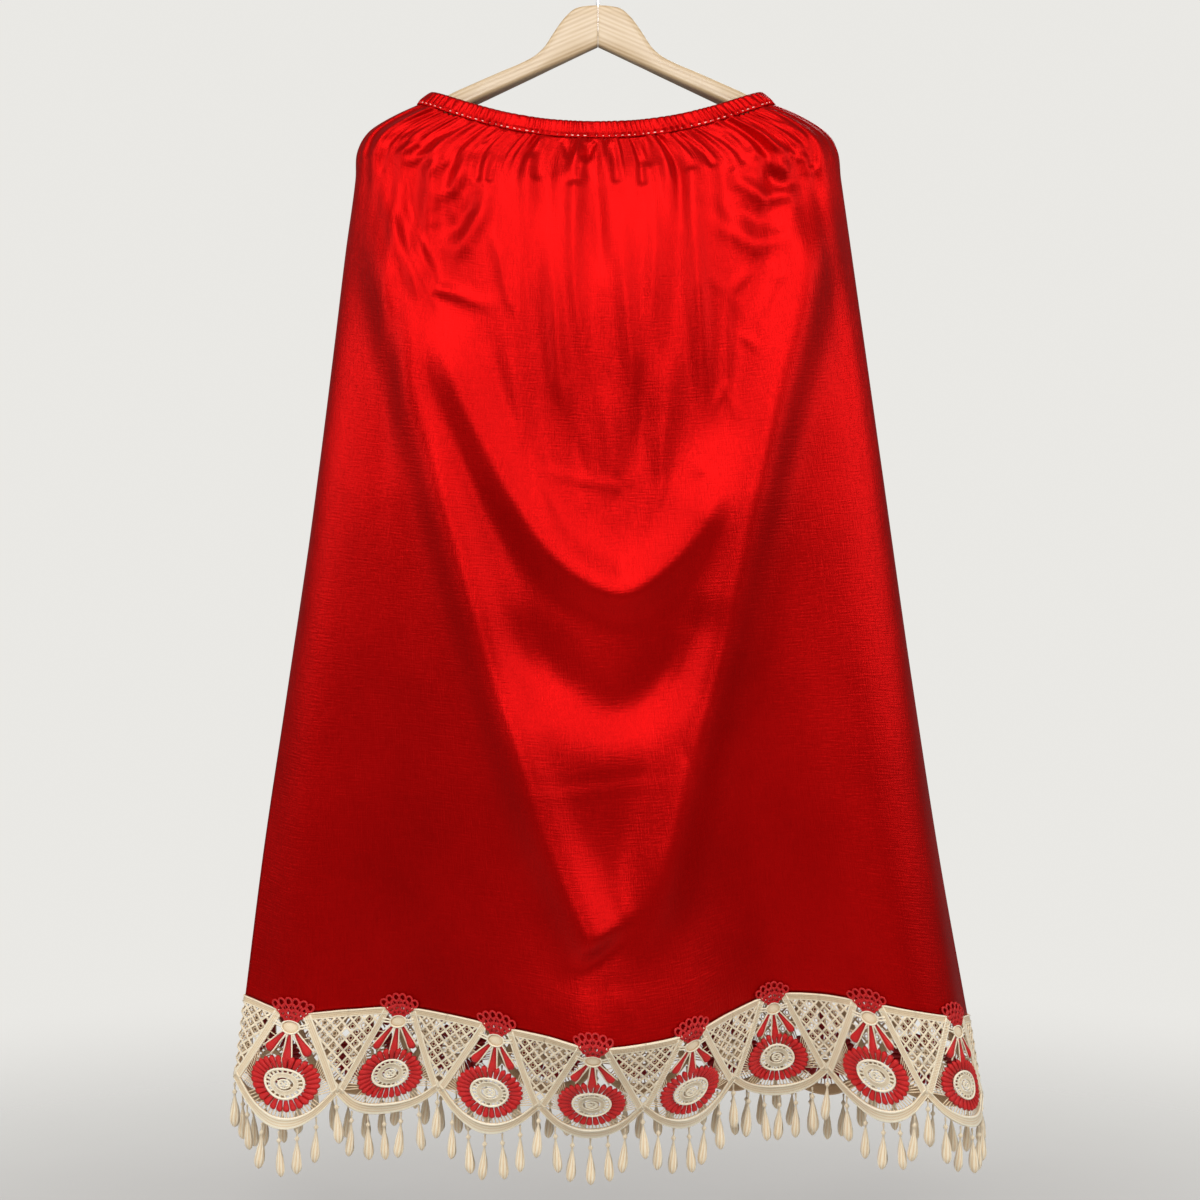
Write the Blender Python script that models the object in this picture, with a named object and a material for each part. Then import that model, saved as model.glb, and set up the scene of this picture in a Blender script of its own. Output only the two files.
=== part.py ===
"""A flared satin skirt with a gathered waistband and a scalloped lace border, on a wooden hanger.

Metres, +Z up, front of the skirt towards -Y. The origin is the inside top of the hook.
"""

import math

import bmesh
import bpy
import numpy as np
from mathutils import Vector
from mathutils.geometry import delaunay_2d_cdt

MM = 0.001
COLLECTION = "flared_skirt_on_hanger"
SHARP_ANGLE = math.radians(40)

# Cloth
CLOTH = 1.5 * MM
SEAM_GAP = 0.3 * MM
MITRE_LEAST = 0.85

# Waistband
WAIST_CORNER_Z = -156 * MM
WAIST_DIP = 39 * MM
WAIST_DIP_POWER = 2.2
BAND_HEIGHT = 17 * MM
BAND_LEAN = 12.5 * MM
BAND_HALF = 170 * MM
BAND_BULGE = 1.6 * MM
BAND_GATHERS = 126
BAND_RIB = 0.8 * MM
BAND_RIB_COLUMNS = 2
BAND_INSIDE_SHARE = 3

# Skirt panels
HEM_LEVEL = -1000 * MM
SIDE_TURN = 9
GATHERS_A_SIDE = 24
GATHER_HEIGHT = 3.4 * MM
GATHER_FADE = 78 * MM

# How far the gathers' height and length vary: share, waves across a side, phase from side to side
UNEVEN_HEIGHT = (0.35, 5.3, 0.2)
UNEVEN_FADE = (0.45, 3.7, 0.35)

# Powers by which gathers and drapes die out towards the side seams
GATHERS_CALM = 8
DRAPES_CALM = 10

# Steps of share and of ring, and of repeat and millimetres, across which a normal is measured
PANEL_STEPS = (0.004, 0.004)
LACE_STEPS = (0.03, 0.6)

# Sections of the skirt, in millimetres below the waistband's corner
SECTION_COLUMNS = ("down", "left", "right", "front", "back", "squareness")
SECTIONS = (
    (0, 170.5, 167.0, 30, 30, 5.5),
    (8, 188, 186, 33, 33, 6.0),
    (16, 203, 201, 36, 36, 6.0),
    (24, 215, 213, 39, 39, 6.0),
    (32, 222, 221, 42, 42, 5.6),
    (42, 227, 226, 45, 45, 5.0),
    (70, 229.5, 230, 49, 50, 4.0),
    (137, 238.5, 239.5, 54, 56, 3.2),
    (232, 250, 253, 60, 62, 2.8),
    (374, 268, 273, 68, 70, 2.6),
    (563, 295.5, 301, 78, 80, 2.5),
    (705, 316.5, 324, 86, 88, 2.4),
    (844, 334, 350, 92, 94, 2.4),
)

# Share of the way down at each ring of the panels
FRONT_RINGS = (0, 0.01, 0.02, 0.03, 0.042, 0.06, 0.1, 0.16, 0.24, 0.33, 0.42, 0.51, 0.6, 0.69, 0.78,
               0.87, 0.94, 0.972, 1)
BACK_RINGS = (0, 0.01, 0.02, 0.03, 0.042, 0.06, 0.1, 0.16, 0.24, 0.36, 0.51, 0.66, 0.78, 0.88, 0.972, 1)
COLUMNS = 2 * GATHERS_A_SIDE

# Between these shares of the way down a panel has half of its columns
FRONT_SPARSE = (1, 1)
BACK_SPARSE = (0.2, 0.9)

# The hem starts to wave at this share of the way down
WAVES_FROM = 0.42
WAVES_POWER = 1.3

# Lace edge, a row at each junction and rosette: the upper edge and the scallops' level, in millimetres
HEM_COLUMNS = ("repeat", "x", "y", "z", "low_x", "low_y", "low_z")
FRONT_HEM = (
    (0, -334, 0, -998, -347, 0, -1104),
    (0.5, -285, -24, -1009, -296, -32, -1116),
    (1, -231, -30, -1005, -248, -24, -1114),
    (1.5, -182, -42, -1000, -200, -16, -1105),
    (2, -137, -60, -1003, -151, -34, -1104),
    (2.5, -90, -80, -1009, -103, -54, -1113),
    (3, -46, -100, -1014, -56, -60, -1112),
    (3.5, -4, -112, -1022, -7, -56, -1116),
    (4, 42, -100, -1021, 40, -50, -1114),
    (4.5, 85, -80, -1015, 84, -34, -1112),
    (5, 122, -50, -1003, 127, -12, -1099),
    (5.5, 162, -26, -992, 172, 6, -1093),
    (6, 205, -32, -990, 220, -6, -1095),
    (6.5, 248, -54, -993, 264, -44, -1105),
    (7, 290, -62, -1000, 306, -52, -1108),
    (7.5, 330, -40, -1010, 348, -24, -1116),
    (8, 350, 0, -1017, 367, 0, -1121),
)
BACK_HEM = (
    (0, -334, 0, -998, -347, 0, -1104),
    (0.5, -311, 42, -1004, -321, 44, -1111),
    (1, -270, 66, -1008, -278, 66, -1115),
    (1.5, -224, 82, -1006, -230, 78, -1113),
    (2, -178, 74, -1001, -184, 68, -1108),
    (2.5, -136, 96, -1004, -140, 86, -1110),
    (3, -94, 122, -1012, -97, 108, -1117),
    (3.5, -46, 128, -1016, -48, 112, -1121),
    (4, -2, 108, -1012, -2, 92, -1118),
    (4.5, 40, 84, -1005, 41, 72, -1111),
    (5, 86, 76, -1002, 88, 68, -1108),
    (5.5, 130, 96, -1006, 134, 88, -1112),
    (6, 174, 116, -1012, 179, 106, -1118),
    (6.5, 222, 108, -1013, 229, 100, -1119),
    (7, 268, 92, -1010, 276, 88, -1116),
    (7.5, 316, 66, -1011, 327, 62, -1117),
    (8, 350, 0, -1017, 367, 0, -1121),
)
REPEATS = 8
PITCH = 97.0
LACE_LEVEL = 107.0
SATIN_UNDER_LACE = 1.0

# Large drapes, in millimetres: a line of x and z is a drape's crest, seen from the front
FOLD_COLUMNS = ("height", "width", "line")
FRONT_FOLDS = {
    "left_ridge": (15, 19, ((-212, -235), (-195, -330), (-170, -430), (-146, -521), (-121, -609),
                            (-96, -692), (-69, -776), (-45, -846), (-12, -915), (8, -946))),
    "right_ridge": (15, 19, ((212, -235), (194, -330), (158, -472), (132, -580), (109, -685),
                             (87, -780), (69, -846), (46, -909), (10, -946))),
    "swag": (16, 24, ((-169, -330), (-134, -417), (-102, -487), (-76, -535), (-36, -588), (15, -618),
                      (50, -605), (83, -572), (104, -531), (124, -461))),
    "swag_hollow": (-9, 22, ((-89, -624), (-43, -690), (-5, -722), (25, -725), (55, -705),
                             (87, -660), (104, -615))),
    "lower_shelf": (6, 16, ((-62, -718), (-24, -752), (18, -766), (58, -746), (92, -702))),
}
BACK_FOLDS = {
    "left_ridge": (12, 20, ((210, -240), (190, -340), (160, -450), (124, -560), (90, -670), (58, -770))),
    "right_ridge": (12, 20, ((-210, -240), (-186, -350), (-150, -470), (-116, -590), (-84, -700),
                            (-60, -780))),
    "swag": (13, 26, ((-150, -340), (-108, -420), (-56, -478), (4, -500), (62, -480), (112, -424),
                      (150, -340))),
}

# Lace repeat, in millimetres from the middle of its rosette, down from the upper edge
TRELLIS_HALF = 36.0
JUNCTION_DOWN = 80.0
SCALLOP = ((-32.3, 96.0), (-16.2, 104.5), (0, LACE_LEVEL), (16.2, 104.5), (32.3, 96.0))
CROWN_FOOT = 11.6
CROWN = ((-11, 3.5), (-CROWN_FOOT, SATIN_UNDER_LACE), (-14.5, -6), (-18.5, -15), (-11.5, -14), (-6, -18),
         (0, -15.5), (6, -18), (11.5, -14), (18.5, -15), (14.5, -6), (CROWN_FOOT, SATIN_UNDER_LACE),
         (11, 3.5))
CROWN_BEND = (-5.8, 0, 5.8)
GAPS = {
    "beside_knob": ((-15.4, 6.4), (-10.8, 6.4), (-10.6, 11.6), (-17.4, 11.6)),
    "beside_petal": ((-19.8, 17.6), (-10.2, 19.4), (-18.2, 35.4), (-25.6, 30.6)),
    "between_petals": ((-4.2, 25), (-5.4, 38.8), (-12.6, 37.2), (-7.4, 25.4)),
    "under_rosette": ((-35.6, 77.6), (-29.4, 78.2), (-22.8, 86.0), (-25.2, 91.6)),
}
ROSETTE = {"down": 66.0, "half_wide": 31.0, "half_tall": 24.5, "sides": 9}
ROSETTE_RINGS = ((1.0, 0.3), (0.78, 2.4), (0.52, 1.0))
ROSETTE_BUTTON = 1.8
KNOB = {"down": 14.0, "half_wide": 8.6, "half_tall": 6.4, "sides": 6}
KNOB_RINGS = ((1.0, 0.4),)
KNOB_TOP = 3.2
LACE = 1.4 * MM
LACE_OFF_SATIN = 0.8 * MM

# How Blender fills the flat lace: its mode for triangles only, and the distance that counts as touching
TRIANGLES_INSIDE = 1
TOUCHING = 1e-4

# Drops
DROPS_A_REPEAT = 6
FRINGE_STRIP = 2.4
FRINGE_GAP = 0.8
DROP_ROOT = 1.3
DROP_BELLY_DOWN = 30 * MM
DROP_TIP_DOWN = 41 * MM
DROP_BELLY = 4.4 * MM
DROP_SWAY = 3.0 * MM
SWAY_ANGLES = (2.4, 1.7)
SWAY_DEPTH = 0.6
SWAY_AT_BELLY = 0.7

# The fringe's strip in section: millimetres below its upper edge, and outwards in lace thicknesses
STRIP_SECTION = ((0, 0.5), (FRINGE_STRIP, 1.15), (FRINGE_STRIP, -0.15))

# Hanger
ARM_COLUMNS = ("x", "top", "bottom", "half_deep")
ARM = (
    (0, -62, -100.5, 6.0),
    (12, -62.8, -106.1, 6.2),
    (23, -66, -111.3, 6.6),
    (33, -75.6, -116, 7.0),
    (43, -90, -120.6, 7.4),
    (50, -101, -123.9, 7.7),
    (57.5, -108.5, -127.4, 8.0),
    (72, -117, -134.2, 8.6),
    (90, -124.8, -142.6, 9.4),
    (115, -136, -154.3, 10.6),
    (142, -148.4, -167.0, 10.6),
    (155, -155.6, -172.6, 9.8),
    (169.5, -161.6, -178.6, 9.2),
    (188, -169.8, -186.4, 9.2),
    (203, -176.8, -192.6, 9.0),
    (213, -183.6, -196.6, 7.6),
    (219, -188.6, -198.0, 5.2),
    (221.5, -191.5, -196.6, 2.6),
)
ARM_CORNER = 0.55
ARM_SIDES = 12
WIRE_RADIUS = 1.75 * MM
BORE_CLEARANCE = 0.3 * MM
HOOK_RADIUS = 18 * MM
HOOK_FROM = math.radians(-70)
HOOK_TO = math.radians(192)
BORE_BOTTOM_Z = -90 * MM
BORE_CUTTER_TOP_Z = -50 * MM
BORE_SIDES = 12
ELBOW_STEPS = 5
LOOP_STEPS = 20


def clear_scene():
    for old in list(bpy.data.objects):
        bpy.data.objects.remove(old)


def make_material(name, colour, roughness, metallic=0.0):
    material = bpy.data.materials.new(name)
    material.use_nodes = True
    shader = material.node_tree.nodes["Principled BSDF"]
    shader.inputs["Base Color"].default_value = (*colour, 1)
    shader.inputs["Roughness"].default_value = roughness
    shader.inputs["Metallic"].default_value = metallic
    material.diffuse_color = (*colour, 1)
    return material


def make_collection(name):
    collection = bpy.data.collections.new(name)
    bpy.context.scene.collection.children.link(collection)
    return collection


def add_object(name, points, faces, material, collection):
    """A named object from points in metres and the faces of one closed body."""
    mesh = bpy.data.meshes.new(name)
    mesh.from_pydata([tuple(p) for p in points], [], [tuple(int(i) for i in f) for f in faces])
    shape = bmesh.new()
    shape.from_mesh(mesh)
    bmesh.ops.delete(shape, geom=[v for v in shape.verts if not v.link_faces], context="VERTS")
    bmesh.ops.recalc_face_normals(shape, faces=shape.faces)
    shape.to_mesh(mesh)
    shape.free()
    mesh.materials.append(material)
    mesh.shade_smooth()
    mesh.set_sharp_from_angle(angle=SHARP_ANGLE)
    made = bpy.data.objects.new(name, mesh)
    collection.objects.link(made)
    return made


def smooth(at, places, values):
    """Reads a table's column at these places: a cubic between rows, with each row's mean slope."""
    places = np.asarray(places, float)
    values = np.asarray(values, float)
    slopes = np.gradient(values, places)
    row = np.clip(np.searchsorted(places, at, side="right") - 1, 0, len(places) - 2)
    step = places[row + 1] - places[row]
    t = np.clip((at - places[row]) / step, 0, 1)
    rise = t * t * (3 - 2 * t)
    return (
        values[row] * (1 - rise)
        + values[row + 1] * rise
        + step * (t * (1 - t) ** 2 * slopes[row] - t * t * (1 - t) * slopes[row + 1])
    )


def column(table, names, name):
    return [row[names.index(name)] for row in table]


def section(name, down):
    """One size of the skirt's section, in metres, at these distances below the waistband's corner."""
    return smooth(down / MM, column(SECTIONS, SECTION_COLUMNS, "down"),
                  column(SECTIONS, SECTION_COLUMNS, name)) * MM


def hem(side, name, repeat):
    rows = FRONT_HEM if side < 0 else BACK_HEM
    return smooth(repeat, column(rows, HEM_COLUMNS, "repeat"), column(rows, HEM_COLUMNS, name)) * MM


def across(share):
    """Place across the half width, -1 to 1, of a column: even steps that slow down as the side turns."""
    q = 2 * share - 1
    a = np.abs(q)
    return np.sign(q) * (a + (a - a**SIDE_TURN) / (SIDE_TURN - 1))


def waist_z(x_share):
    """Height of the waistband's lower edge: highest where it lies on the hanger, dipping between."""
    return WAIST_CORNER_Z - WAIST_DIP * (1 - np.abs(x_share) ** WAIST_DIP_POWER)


def ring_point(side, share, down):
    """The plain section without folds: a rounded box, flat in front, that narrows to its sides."""
    s = across(share)
    half = np.where(s < 0, section("left", down), section("right", down))
    depth = section("front" if side < 0 else "back", down)
    square = section("squareness", down) / MM
    y = side * depth * np.sqrt(np.maximum(1 - np.abs(s) ** square, 0))
    return s * half, y


def line_height(x, z, folds):
    """Sum of the drapes' heights at points seen from the front: each a bell across its line."""
    total = np.zeros_like(x)
    for row in folds.values():
        fold = dict(zip(FOLD_COLUMNS, row))
        line = np.array(fold["line"]) * MM
        nearest = np.full(x.shape, np.inf)
        for a, b in zip(line[:-1], line[1:]):
            along = b - a
            t = np.clip(((x - a[0]) * along[0] + (z - a[1]) * along[1]) / along.dot(along), 0, 1)
            far = np.hypot(x - a[0] - t * along[0], z - a[1] - t * along[1])
            nearest = np.minimum(nearest, far)
        total += fold["height"] * MM * np.exp(-((nearest / (fold["width"] * MM)) ** 2))
    return total


def varied(side, share, by, waves, phase):
    """A factor about 1 that varies slowly across a side as a sine."""
    return 1 + by * np.sin(2 * math.pi * (waves * share + phase * side))


def gather_height(side, share, down):
    """Gathers under the waistband: even folds of uneven height that die out downwards."""
    uneven = varied(side, share, *UNEVEN_HEIGHT)
    fade = GATHER_FADE * varied(side, share, *UNEVEN_FADE)
    middle = 1 - np.abs(2 * share - 1) ** GATHERS_CALM
    wave = np.cos(2 * math.pi * GATHERS_A_SIDE * share)
    return GATHER_HEIGHT * uneven * middle * (1 + wave) * np.exp(-((down / fade) ** 2))


def skirt_point(side, share, ring):
    """Outer surface of a panel. side is -1 in front and 1 behind, share runs from the left seam to the
    right one, and ring is the share of the way from the waistband to the satin's lower edge."""
    length = WAIST_CORNER_Z - HEM_LEVEL
    x, y = ring_point(side, share, ring * length)
    s = across(share)
    z = waist_z(s) - SEAM_GAP + ring * (HEM_LEVEL - waist_z(s))
    end_x, end_y = ring_point(side, share, length + 0 * ring)
    repeat = share * REPEATS
    lift = SATIN_UNDER_LACE / LACE_LEVEL
    low = [hem(side, n, repeat) * (1 - lift) + hem(side, "low_" + n, repeat) * lift for n in "xyz"]
    wave = np.clip((ring - WAVES_FROM) / (1 - WAVES_FROM), 0, 1) ** WAVES_POWER
    x = x + wave * (low[0] - end_x)
    y = y + wave * (low[1] - end_y)
    z = z + wave * (low[2] - HEM_LEVEL)
    folds = FRONT_FOLDS if side < 0 else BACK_FOLDS
    edge = 1 - np.abs(2 * share - 1) ** DRAPES_CALM
    y = y + side * edge * (line_height(x, z, folds) + gather_height(side, share, ring * length))
    return np.stack([x, y, z], -1)


def lace_point(side, repeat, down):
    """The lace's middle surface: on the satin above its edge, and hanging straight below it."""
    share = repeat / REPEATS
    length = WAIST_CORNER_Z - HEM_LEVEL
    ring = 1 + np.minimum(down - SATIN_UNDER_LACE, 0) * MM / length
    on_satin = skirt_point(side, share, ring)
    fall = np.maximum(down - SATIN_UNDER_LACE, 0) / LACE_LEVEL
    drop = [hem(side, "low_" + n, repeat) - hem(side, n, repeat) for n in "xyz"]
    return on_satin + np.stack(drop, -1) * fall[..., None]


def outward(surface, side, a, b, step_a, step_b):
    """Unit normals of a surface of two parameters, pointing away from the wearer."""
    along = surface(side, a + step_a, b) - surface(side, a - step_a, b)
    down = surface(side, a, b + step_b) - surface(side, a, b - step_b)
    normal = np.cross(along, down) * side
    return normal / np.linalg.norm(normal, axis=-1, keepdims=True)


def unit(vectors):
    return vectors / np.linalg.norm(vectors, axis=-1, keepdims=True)


def set_seams(surface, side, a, b, points, normals, ends, steps):
    """At both side seams: normals that halve the corner with the other panel, so that the two walls
    meet in a mitre, and points moved off the seam by half its gap."""
    for end, inwards in ((ends[0], 1), (ends[1], -1)):
        at = np.isclose(a, end)
        if not at.any():
            continue
        front = outward(surface, -1, a[at], b[at], *steps)
        behind = outward(surface, 1, a[at], b[at], *steps)
        middle = unit(front + behind)
        lean = np.sum(middle * (front if side < 0 else behind), -1, keepdims=True)
        line = surface(side, a[at], b[at] + steps[1]) - surface(side, a[at], b[at] - steps[1])
        off = unit(np.cross(middle, line))
        inner = surface(side, a[at] + inwards * steps[0], b[at]) - surface(side, a[at], b[at])
        off = off * np.sign(np.sum(off * inner, -1, keepdims=True))
        normals[at] = middle / np.maximum(lean, MITRE_LEAST)
        points[at] = points[at] + off * SEAM_GAP / 2


def wall_faces(faces, inner_faces, count):
    """Closes a wall whose inner points follow its outer points in the list, count of each."""
    used = {}
    for face in faces:
        for a, b in zip(face, face[1:] + face[:1]):
            used[a, b] = True
    closed = [tuple(f) for f in faces]
    closed += [tuple(i + count for i in reversed(f)) for f in inner_faces]
    closed += [(b, a, a + count, b + count) for a, b in used if (b, a) not in used]
    return closed


def bridge(upper, lower, lean_right):
    """Triangles between two rings of point numbers, alike or one with twice the other's columns."""
    faces = []
    if len(upper) == len(lower):
        for j in range(len(upper) - 1):
            a, b, c, d = upper[j], lower[j], lower[j + 1], upper[j + 1]
            faces += [[a, b, c], [a, c, d]] if lean_right[j] else [[a, b, d], [b, c, d]]
        return faces
    few, many = (lower, upper) if len(lower) < len(upper) else (upper, lower)
    for j in range(len(few) - 1):
        a, m, d = many[2 * j], many[2 * j + 1], many[2 * j + 2]
        fan = [[a, few[j], m], [m, few[j], few[j + 1]], [m, few[j + 1], d]]
        faces += fan if few is lower else [face[::-1] for face in fan]
    return faces


def skirt_panel(name, side, rings, sparse, material, collection):
    """A satin panel: rings of columns down the outer surface, and an inner wall one cloth inside it."""
    shares = []
    levels = []
    numbers = []
    for ring in rings:
        columns = COLUMNS // 2 if sparse[0] < ring < sparse[1] else COLUMNS
        numbers.append(list(range(len(shares), len(shares) + columns + 1)))
        shares += [c / columns for c in range(columns + 1)]
        levels += [ring] * (columns + 1)
    shares = np.array(shares)
    levels = np.array(levels)
    outer = skirt_point(side, shares, levels)
    normals = outward(skirt_point, side, shares, levels, *PANEL_STEPS)
    set_seams(skirt_point, side, shares, levels, outer, normals, (0, 1), PANEL_STEPS)
    faces = []
    for upper, lower in zip(numbers[:-1], numbers[1:]):
        half = (len(upper) - 1) / 2
        faces += bridge(upper, lower, [j < half for j in range(len(upper) - 1)])
    points = np.concatenate([outer, outer - normals * CLOTH])
    return add_object(name, points, wall_faces(faces, faces, len(outer)), material, collection)


def band_ring(columns, height, swell):
    """A ring of points of the waistband: height is 0 at its lower edge and 1 at its upper one, and
    swell is how far each point stands off the plain ring."""
    place = np.arange(columns) * 2 / columns
    sides = np.where(place < 1, -1, 1)
    share = np.where(place < 1, place, 2 - place)
    s = across(share)
    ring = np.zeros((columns, 2))
    normal = np.zeros((columns, 2))
    for side in (-1, 1):
        at = sides == side
        level = np.zeros(at.sum())
        ring[at] = np.stack(ring_point(side, share[at], level), -1)
        before = ring_point(side, np.clip(share[at] - PANEL_STEPS[0], 0, 1), level)
        after = ring_point(side, np.clip(share[at] + PANEL_STEPS[0], 0, 1), level)
        normal[at] = np.stack([before[1] - after[1], after[0] - before[0]], -1) * side
    at_seam = np.isclose(np.abs(s), 1)
    normal[at_seam] = np.stack([np.sign(s), 0 * s], -1)[at_seam]
    narrow = 1 - BAND_LEAN / BAND_HALF * height
    rise = np.sqrt(BAND_HEIGHT**2 - (BAND_LEAN * s) ** 2) * height
    flat = ring * narrow + unit(normal) * swell[:, None]
    return np.concatenate([flat, (waist_z(s) + rise)[:, None]], -1)


def waistband(material, collection):
    """A closed ring: ribs of gathered satin in the outer points, and a plain inside."""
    outer_columns = BAND_GATHERS * BAND_RIB_COLUMNS
    inner_columns = outer_columns // BAND_INSIDE_SHARE
    rib = BAND_RIB * (1 - np.arange(outer_columns) % BAND_RIB_COLUMNS)
    lower = band_ring(outer_columns, 0, rib)
    middle = band_ring(outer_columns, 0.5, rib + BAND_BULGE)
    upper = band_ring(outer_columns, 1, rib)
    inside_low = band_ring(inner_columns, 0, np.full(inner_columns, -CLOTH))
    inside_high = band_ring(inner_columns, 1, np.full(inner_columns, -CLOTH))
    points = np.concatenate([lower, middle, upper, inside_low, inside_high])
    faces = []
    n, m = outer_columns, inner_columns
    for i in range(n):
        k = (i + 1) % n
        faces += [(i, k, k + n), (i, k + n, i + n), (i + n, k + n, k + 2 * n), (i + n, k + 2 * n, i + 2 * n)]
    low, high = 3 * n, 3 * n + m
    for j in range(m):
        k = (j + 1) % m
        faces += [(low + j, high + j, high + k), (low + j, high + k, low + k)]
        ribs = [(BAND_INSIDE_SHARE * j + i) % n for i in range(BAND_INSIDE_SHARE + 1)]
        faces += [(ribs[0], low + j, ribs[1]), (ribs[1], low + j, low + k), (ribs[1], low + k, ribs[2])]
        faces += [(ribs[2], low + k, ribs[3])]
        tops = [r + 2 * n for r in ribs]
        faces += [(tops[1], high + j, tops[0]), (high + k, high + j, tops[1]), (tops[2], high + k, tops[1])]
        faces += [(tops[3], high + k, tops[2])]
    return add_object("waistband", points, faces, material, collection)


def inside(places, polygon):
    """Which places lie in a polygon, by counting the edges that a line from each crosses."""
    hit = np.zeros(len(places), bool)
    for (ax, ay), (bx, by) in zip(polygon, np.roll(polygon, -1, 0)):
        spans = (ay > places[:, 1]) != (by > places[:, 1])
        meet = ax + (places[:, 1] - ay) * (bx - ax) / (by - ay if by != ay else 1)
        hit ^= spans & (places[:, 0] < meet)
    return hit


def mirrored(outline):
    return [(-x, y) for x, y in reversed(outline)]


def fill(places, loops, chains, rings):
    """Triangles between loops of point numbers: inside the first and outside the rest."""
    edges = [(a, b) for loop in loops + rings for a, b in zip(loop, loop[1:] + loop[:1])]
    edges += [pair for chain in chains for pair in zip(chain, chain[1:])]
    used = sorted({i for edge in edges for i in edge} | {i for ring in rings for i in ring})
    order = {old: new for new, old in enumerate(used)}
    flat = [Vector(places[i]) for i in used]
    made = delaunay_2d_cdt(flat, [(order[a], order[b]) for a, b in edges], [], TRIANGLES_INSIDE, TOUCHING)
    triangles, sources = made[2], made[3]
    faces = np.array([[used[sources[i][0]] for i in face] for face in triangles])
    middles = places[faces].mean(1)
    keep = inside(middles, places[loops[0]])
    for loop in loops[1:]:
        keep &= ~inside(middles, places[loop])
    return [list(map(int, f)) for f in faces[keep]]


def lace_pattern():
    """The flat lace of one side: places in millimetres, the loops round its edge and gaps, the chains
    where it bends over the satin's edge, the raised rings, and each place's height above the lace."""
    places, heights, loops, chains, rings = [], [], [], [], []

    def add(outline, height=0.0):
        numbers = list(range(len(places), len(places) + len(outline)))
        places.extend(outline)
        heights.extend([height] * len(outline))
        return numbers

    top, bottom = [], []
    drop = PITCH / DROPS_A_REPEAT
    trellis = (-PITCH / 2, 0), (-2 * drop, 0), (-drop, 0), (TRELLIS_HALF - PITCH / 2, 0)
    for i in range(REPEATS):
        middle = (i + 0.5) * PITCH
        edge = [*trellis, *CROWN, *mirrored(trellis)[:-1]]
        top += [(middle + x, y) for x, y in edge]
        bottom += [(middle + x, y) for x, y in ((-PITCH / 2, JUNCTION_DOWN), *SCALLOP)]
    top.append((REPEATS * PITCH, 0))
    bottom.append((REPEATS * PITCH, JUNCTION_DOWN))
    loops.append(add(top + bottom[::-1]))
    for i in range(REPEATS):
        middle = (i + 0.5) * PITCH
        for gap in GAPS.values():
            loops.append(add([(middle + x, y) for x, y in gap]))
            loops.append(add([(middle + x, y) for x, y in mirrored(gap)]))
    for i in range(REPEATS):
        middle = (i + 0.5) * PITCH
        for form, steps, crest in ((ROSETTE, ROSETTE_RINGS, ROSETTE_BUTTON), (KNOB, KNOB_RINGS, KNOB_TOP)):
            for size, height in steps:
                turn = np.arange(form["sides"]) * 2 * math.pi / form["sides"]
                x = middle + size * form["half_wide"] * np.cos(turn)
                y = form["down"] + size * form["half_tall"] * np.sin(turn)
                rings.append(add(list(zip(x, y)), height))
            rings.append(add([(middle, form["down"])], crest))
        ends = [places.index((middle + foot, SATIN_UNDER_LACE)) for foot in (-CROWN_FOOT, CROWN_FOOT)]
        bend = add([(middle + x, SATIN_UNDER_LACE) for x in CROWN_BEND])
        chains.append([ends[0], *bend, ends[1]])
    return np.array(places), np.array(heights) * MM, loops, chains, rings


def lace_border(name, side, material, collection):
    """Half of the lace border: the pattern laid on the skirt's surface, gaps cut through."""
    places, heights, loops, chains, rings = lace_pattern()
    faces = fill(places, loops, chains, rings)
    inner_faces = fill(places, loops, chains, [])
    repeat = places[:, 0] / PITCH
    down = places[:, 1]
    base = lace_point(side, repeat, down)
    normals = outward(lace_point, side, repeat, down, *LACE_STEPS)
    set_seams(lace_point, side, repeat, down, base, normals, (0, REPEATS), LACE_STEPS)
    low = base + normals * LACE_OFF_SATIN
    high = low + normals * (LACE + heights[:, None])
    closed = wall_faces(faces, inner_faces, len(places))
    return add_object(name, np.concatenate([high, low]), closed, material, collection)


def scallop_down(x):
    """The lace's lower edge at x millimetres from the rosette's middle."""
    edge = ((-PITCH / 2, JUNCTION_DOWN), *SCALLOP, (PITCH / 2, JUNCTION_DOWN))
    return np.interp(x, [p[0] for p in edge], [p[1] for p in edge])


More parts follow.
